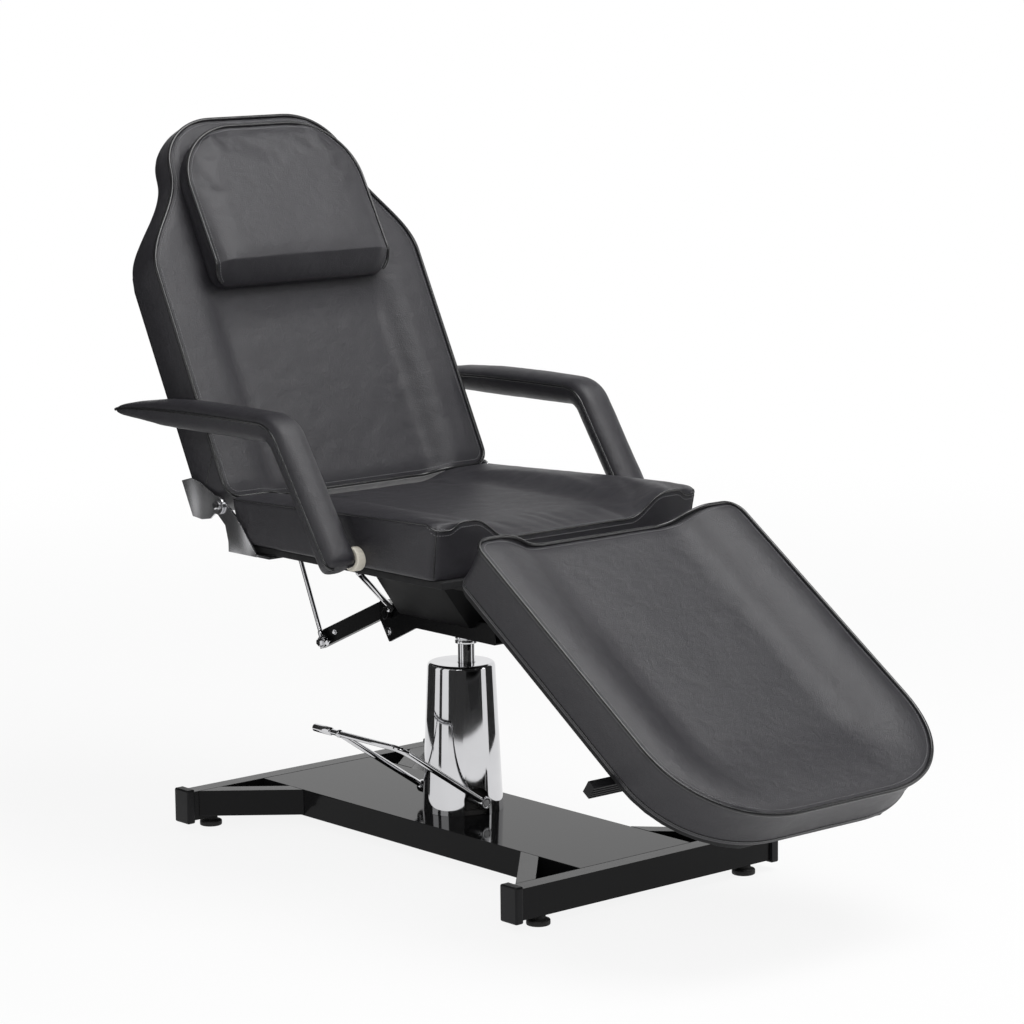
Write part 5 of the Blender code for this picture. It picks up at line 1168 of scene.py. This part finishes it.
def arm_section(k):
    """How far across and up the arm's section goes at a step round it, in half widths and half depths."""
    angle = 2 * pi * k / ARM_SIDES
    c, s = cos(angle), sin(angle)
    top, hull = (1 - ARM_SEAM) * max(s, 0) ** ARM_TOP_POWER, (1 + ARM_SEAM) * max(-s, 0) ** ARM_HULL_POWER
    return copysign(abs(c) ** ARM_SIDE_POWER, c), ARM_SEAM + top - hull


ivory = mottled("cream_plastic", (0.80, 0.75, 0.64), (0.88, 0.84, 0.74), cloud=(60.0, 3.0),
                rough=(0.35, 0.12), wear=(200.0,), shine=0.45)
for side, sign in reversed(SEAT_SIDES):
    dress([f"arm_stud_{side}"], steel, edge=0.0004)
    points = []
    spots = arm_spots()
    for spot, out, wide, deep in spots:
        out = out.normalized()
        for k in range(ARM_SIDES):
            across, rise = arm_section(k)
            up = rise * ARM_HALF_DEPTH * deep
            x = sign * ARM_MIDDLE + across * ARM_HALF_WIDTH * wide
            points.append(Vector((x, spot.x + out.x * up, spot.y + out.y * up)))
    foot_ring = range(len(points) - ARM_SIDES, len(points))
    seams = [range(start, len(points), ARM_SIDES) for start in (0, ARM_SIDES // 2)]
    held = {*seams[0], *seams[1], *range(ARM_SIDES), *foot_ring}
    stuffed(f"arm_cushion_{side}", (points, tube_faces(len(spots), ARM_SIDES)), held, f"arm_{side}",
            f"arm_pad_{side}", pressure=3.0, swell=0.003, wrinkle=0.0004)
    for label, seam in zip(("east", "west"), seams):
        line = [points[k] for k in seam]
        grown(f"arm_welt_{side}_{label}", line, ARM_WELT, f"arm_{side}")
    low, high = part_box(f"arm_spacer_{side}")
    pivot = pivots[f"arm_{side}_lift"]
    spacer_line = ring_line(SPACER_BORE, SPACER_RADIUS, 0, high.x - low.x, edge=0.0015, steps=3)
    spacer = turned(spacer_line, (low.x, pivot.y, pivot.z), ALONG_X)
    put(f"arm_spacer_turned_{side}", spacer, ivory, "upper_frame", f"arm_spacer_{side}")

# Gas struts: a chromed rod that slides in a tube painted black, one for the back and one for the leg rest.
# Each end has a flat eye, which turns on a bolt or a pin in a lug.
STRUT_EYE = 0.010
STRUT_EYE_HALF = 0.005
STRUT_PIN = 0.0044
STRUT_ROD = 0.004
STRUT_TUBE = 0.010
STRUT_START = 0.0075
ROD_NECK = STRUT_ROD + 0.0012
ROD_NECK_END, ROD_START = 0.018, 0.0195
TUBE_NECK = 0.0044
TUBE_START = 0.016
TUBE_MOUTH = STRUT_ROD + 0.0004
TUBE_MOUTH_DEEP = 0.01
TUBE_ROLL = (0.0015, 0.002)
STRUT_LENGTHS = (("back", 0.229, 0.262), ("leg", 0.230, 0.260))
eye_line = ring_line(STRUT_PIN, STRUT_EYE, -STRUT_EYE_HALF, STRUT_EYE_HALF, edge=0.0012, steps=3)
for name, tube_long, rod_long in STRUT_LENGTHS:
    foot, head = pivots[f"{name}_strut_foot"], pivots[f"{name}_strut_head"]
    run = (head - foot).normalized()
    rod_line = [(0, STRUT_START), (ROD_NECK, STRUT_START), (ROD_NECK, ROD_NECK_END), (STRUT_ROD, ROD_START),
                (STRUT_ROD, rod_long), (0, rod_long)]
    mouth = tube_long - TUBE_MOUTH_DEEP
    tube_line = [(0, STRUT_START), (TUBE_NECK, STRUT_START), (TUBE_NECK, TUBE_START),
                 (STRUT_TUBE, TUBE_START), (STRUT_TUBE, tube_long - TUBE_ROLL[1]),
                 (STRUT_TUBE - TUBE_ROLL[0], tube_long), (TUBE_MOUTH, tube_long),
                 (TUBE_MOUTH, mouth), (0, mouth)]
    rod = turned(softened(rod_line, reach=0.0006, steps=3), foot, run, steps=32)
    tube = turned(softened(tube_line, reach=0.0012, steps=3), head, -run, steps=40)
    for part, shape, eye, finish in (("rod", rod, foot, chrome), ("tube", tube, head, paint)):
        strut = f"{name}_strut_{part}"
        shape = joined(shape, turned(eye_line, eye, ALONG_X, steps=40))
        put(f"{strut}_turned", shape, finish, strut, strut)

# Stage: a pale floor that fades to white with distance, a white backdrop, a pale studio and soft lamps.
# Dark cards round the object and a grey ceiling, which only reflections see, give the chrome its bands.
# The camera stands where the photograph was taken.
FLOOR_HALF = 400.0
FLOOR_GREY = (0.82, 0.82, 0.82, 1)
FLOOR_NEAR = 0.88
FLOOR_FADE = (1.2, 4.5)
WHITE = (1, 1, 1, 1)
SKY_STOPS = ((0.0, 0.9), (0.51, 1.0), (0.56, 0.45), (0.72, 0.32), (1.0, 0.45))
scene.view_settings.view_transform = "Standard"


def background(graph):
    """1 for the rays that show the background: from the camera, off metal and through glass."""
    seen = graph.node("ShaderNodeLightPath", out="Is Camera Ray")
    for kind in ("Glossy", "Transmission"):
        seen = seen.math("MAXIMUM", seen, graph.node("ShaderNodeLightPath", out=f"Is {kind} Ray"))
    return seen


def square(name, half, high):
    """A flat square that lies across the stage."""
    corners = [(x * half, y * half, high) for x, y in ((-1, -1), (1, -1), (1, 1), (-1, 1))]
    return added(name, corners, [(0, 1, 2, 3)])


floor = square("floor", FLOOR_HALF, 0)
floor_paint = bpy.data.materials.new("floor")
floor.data.materials.append(floor_paint)
floor_paint.use_nodes = True
floor_paint.node_tree.nodes.clear()
ground = Graph(floor_paint.node_tree)
spread = ground.node("ShaderNodeTexCoord", out="Object")
away = ground.node("ShaderNodeVectorMath", {"operation": "LENGTH"}, {0: spread}, out=1)
fade = {"Value": away, "From Min": FLOOR_FADE[0], "From Max": FLOOR_FADE[1], "To Min": FLOOR_NEAR}
white_share = ground.node("ShaderNodeMapRange", {"interpolation_type": "SMOOTHSTEP"}, fade)
lit = ground.node("ShaderNodeBsdfDiffuse", None, {"Color": FLOOR_GREY})
white = ground.node("ShaderNodeEmission", None, {"Color": WHITE, "Strength": 1.0})
mixed = ground.node("ShaderNodeMixShader", None, {0: white_share * background(ground), 1: lit, 2: white})
ground.node("ShaderNodeOutputMaterial", None, {"Surface": mixed}, out=None)

world = bpy.data.worlds.new("studio")
scene.world = world
world.use_nodes = True
world.node_tree.nodes.clear()
sky = Graph(world.node_tree)
direction = sky.node("ShaderNodeTexCoord", out="Generated")
height = sky.node("ShaderNodeSeparateXYZ", None, {0: direction}, out="Z")
shade = sky.node("ShaderNodeValToRGB", {"stops": SKY_STOPS}, {0: height * 0.5 + 0.5})
studio = sky.node("ShaderNodeBackground", None, {"Color": shade, "Strength": 1.0})
blank = sky.node("ShaderNodeBackground", None, {"Color": WHITE, "Strength": 1.0})
mixed = sky.node("ShaderNodeMixShader", None, {0: background(sky), 1: studio, 2: blank})
sky.node("ShaderNodeOutputWorld", None, {"Surface": mixed}, out=None)

AIM = Vector((0.0, 0.05, 0.6))
LAMPS = (("overhead", (0.7, -0.8, 3.2), 2.0, 80), ("right_fill", (3.0, -2.4, 1.9), 1.6, 14),
         ("left_fill", (-2.6, -2.4, 2.4), 1.4, 32))
lamps = []
for name, place, size, watts in LAMPS:
    lamp = bpy.data.lights.new(name, "AREA")
    lamp.size = size
    lamp.energy = watts
    holder = bpy.data.objects.new(name, lamp)
    holder.location = place
    holder.rotation_euler = (AIM - Vector(place)).to_track_quat("-Z", "Y").to_euler()
    scene.collection.objects.link(holder)
    lamps.append(holder)

CARD_HIGH = 1.4
CARD_STEPS = 12
CARDS = (("card_front", 2.0, -82, 29), ("card_slit", 1.1, -114, -104), ("card_left", 1.2, -185, -134),
         ("card_right", 1.2, 47, 84))
CEILING_HIGH = 3.6
CEILING_HALF = 4.5
dark = Finish("card", base_color=(0.03, 0.03, 0.03, 1), roughness=0.9)
grey = Finish("ceiling", base_color=(0.14, 0.14, 0.14, 1), roughness=0.9)
cards = []
for name, away, start, stop in CARDS:
    corners = []
    for k in range(CARD_STEPS + 1):
        angle = radians(start + (stop - start) * k / CARD_STEPS)
        foot = (away * sin(angle), cover_axis.y - away * cos(angle))
        corners += [(*foot, 0), (*foot, CARD_HIGH)]
    panes = [(2 * k, 2 * k + 2, 2 * k + 3, 2 * k + 1) for k in range(CARD_STEPS)]
    cards.append(added(name, corners, panes))
    cards[-1].data.materials.append(dark.material)
cards.append(square("ceiling", CEILING_HALF, CEILING_HIGH))
cards[-1].data.materials.append(grey.material)
for card in cards:
    card.visible_camera = card.visible_diffuse = card.visible_shadow = False

LENS = 127.48
CAMERA_AIM = Vector((0, cover_axis.y, 0.5407))
CAMERA_OFF = Vector((0.0868, 0.0236, 5.9643))
CAMERA_TURN = radians(-40.58)
CAMERA_HIGH = radians(9.29)
CAMERA_ROLL = radians(-0.62)
facing = Matrix.Rotation(CAMERA_TURN, 3, "Z") @ Matrix.Rotation(pi / 2 - CAMERA_HIGH, 3, "X")
lens = bpy.data.cameras.new("camera")
lens.lens = LENS
lens.sensor_width = 36
lens.clip_end = 200
camera = bpy.data.objects.new("camera", lens)
camera.matrix_world = (facing @ Matrix.Rotation(CAMERA_ROLL, 3, "Z")).to_4x4()
camera.location = CAMERA_AIM + facing @ CAMERA_OFF
scene.collection.objects.link(camera)
scene.camera = camera
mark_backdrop(floor, camera, *lamps, *cards)

# Sizes: the visual model's box as it is now, over every piece but the stage.
low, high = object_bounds()
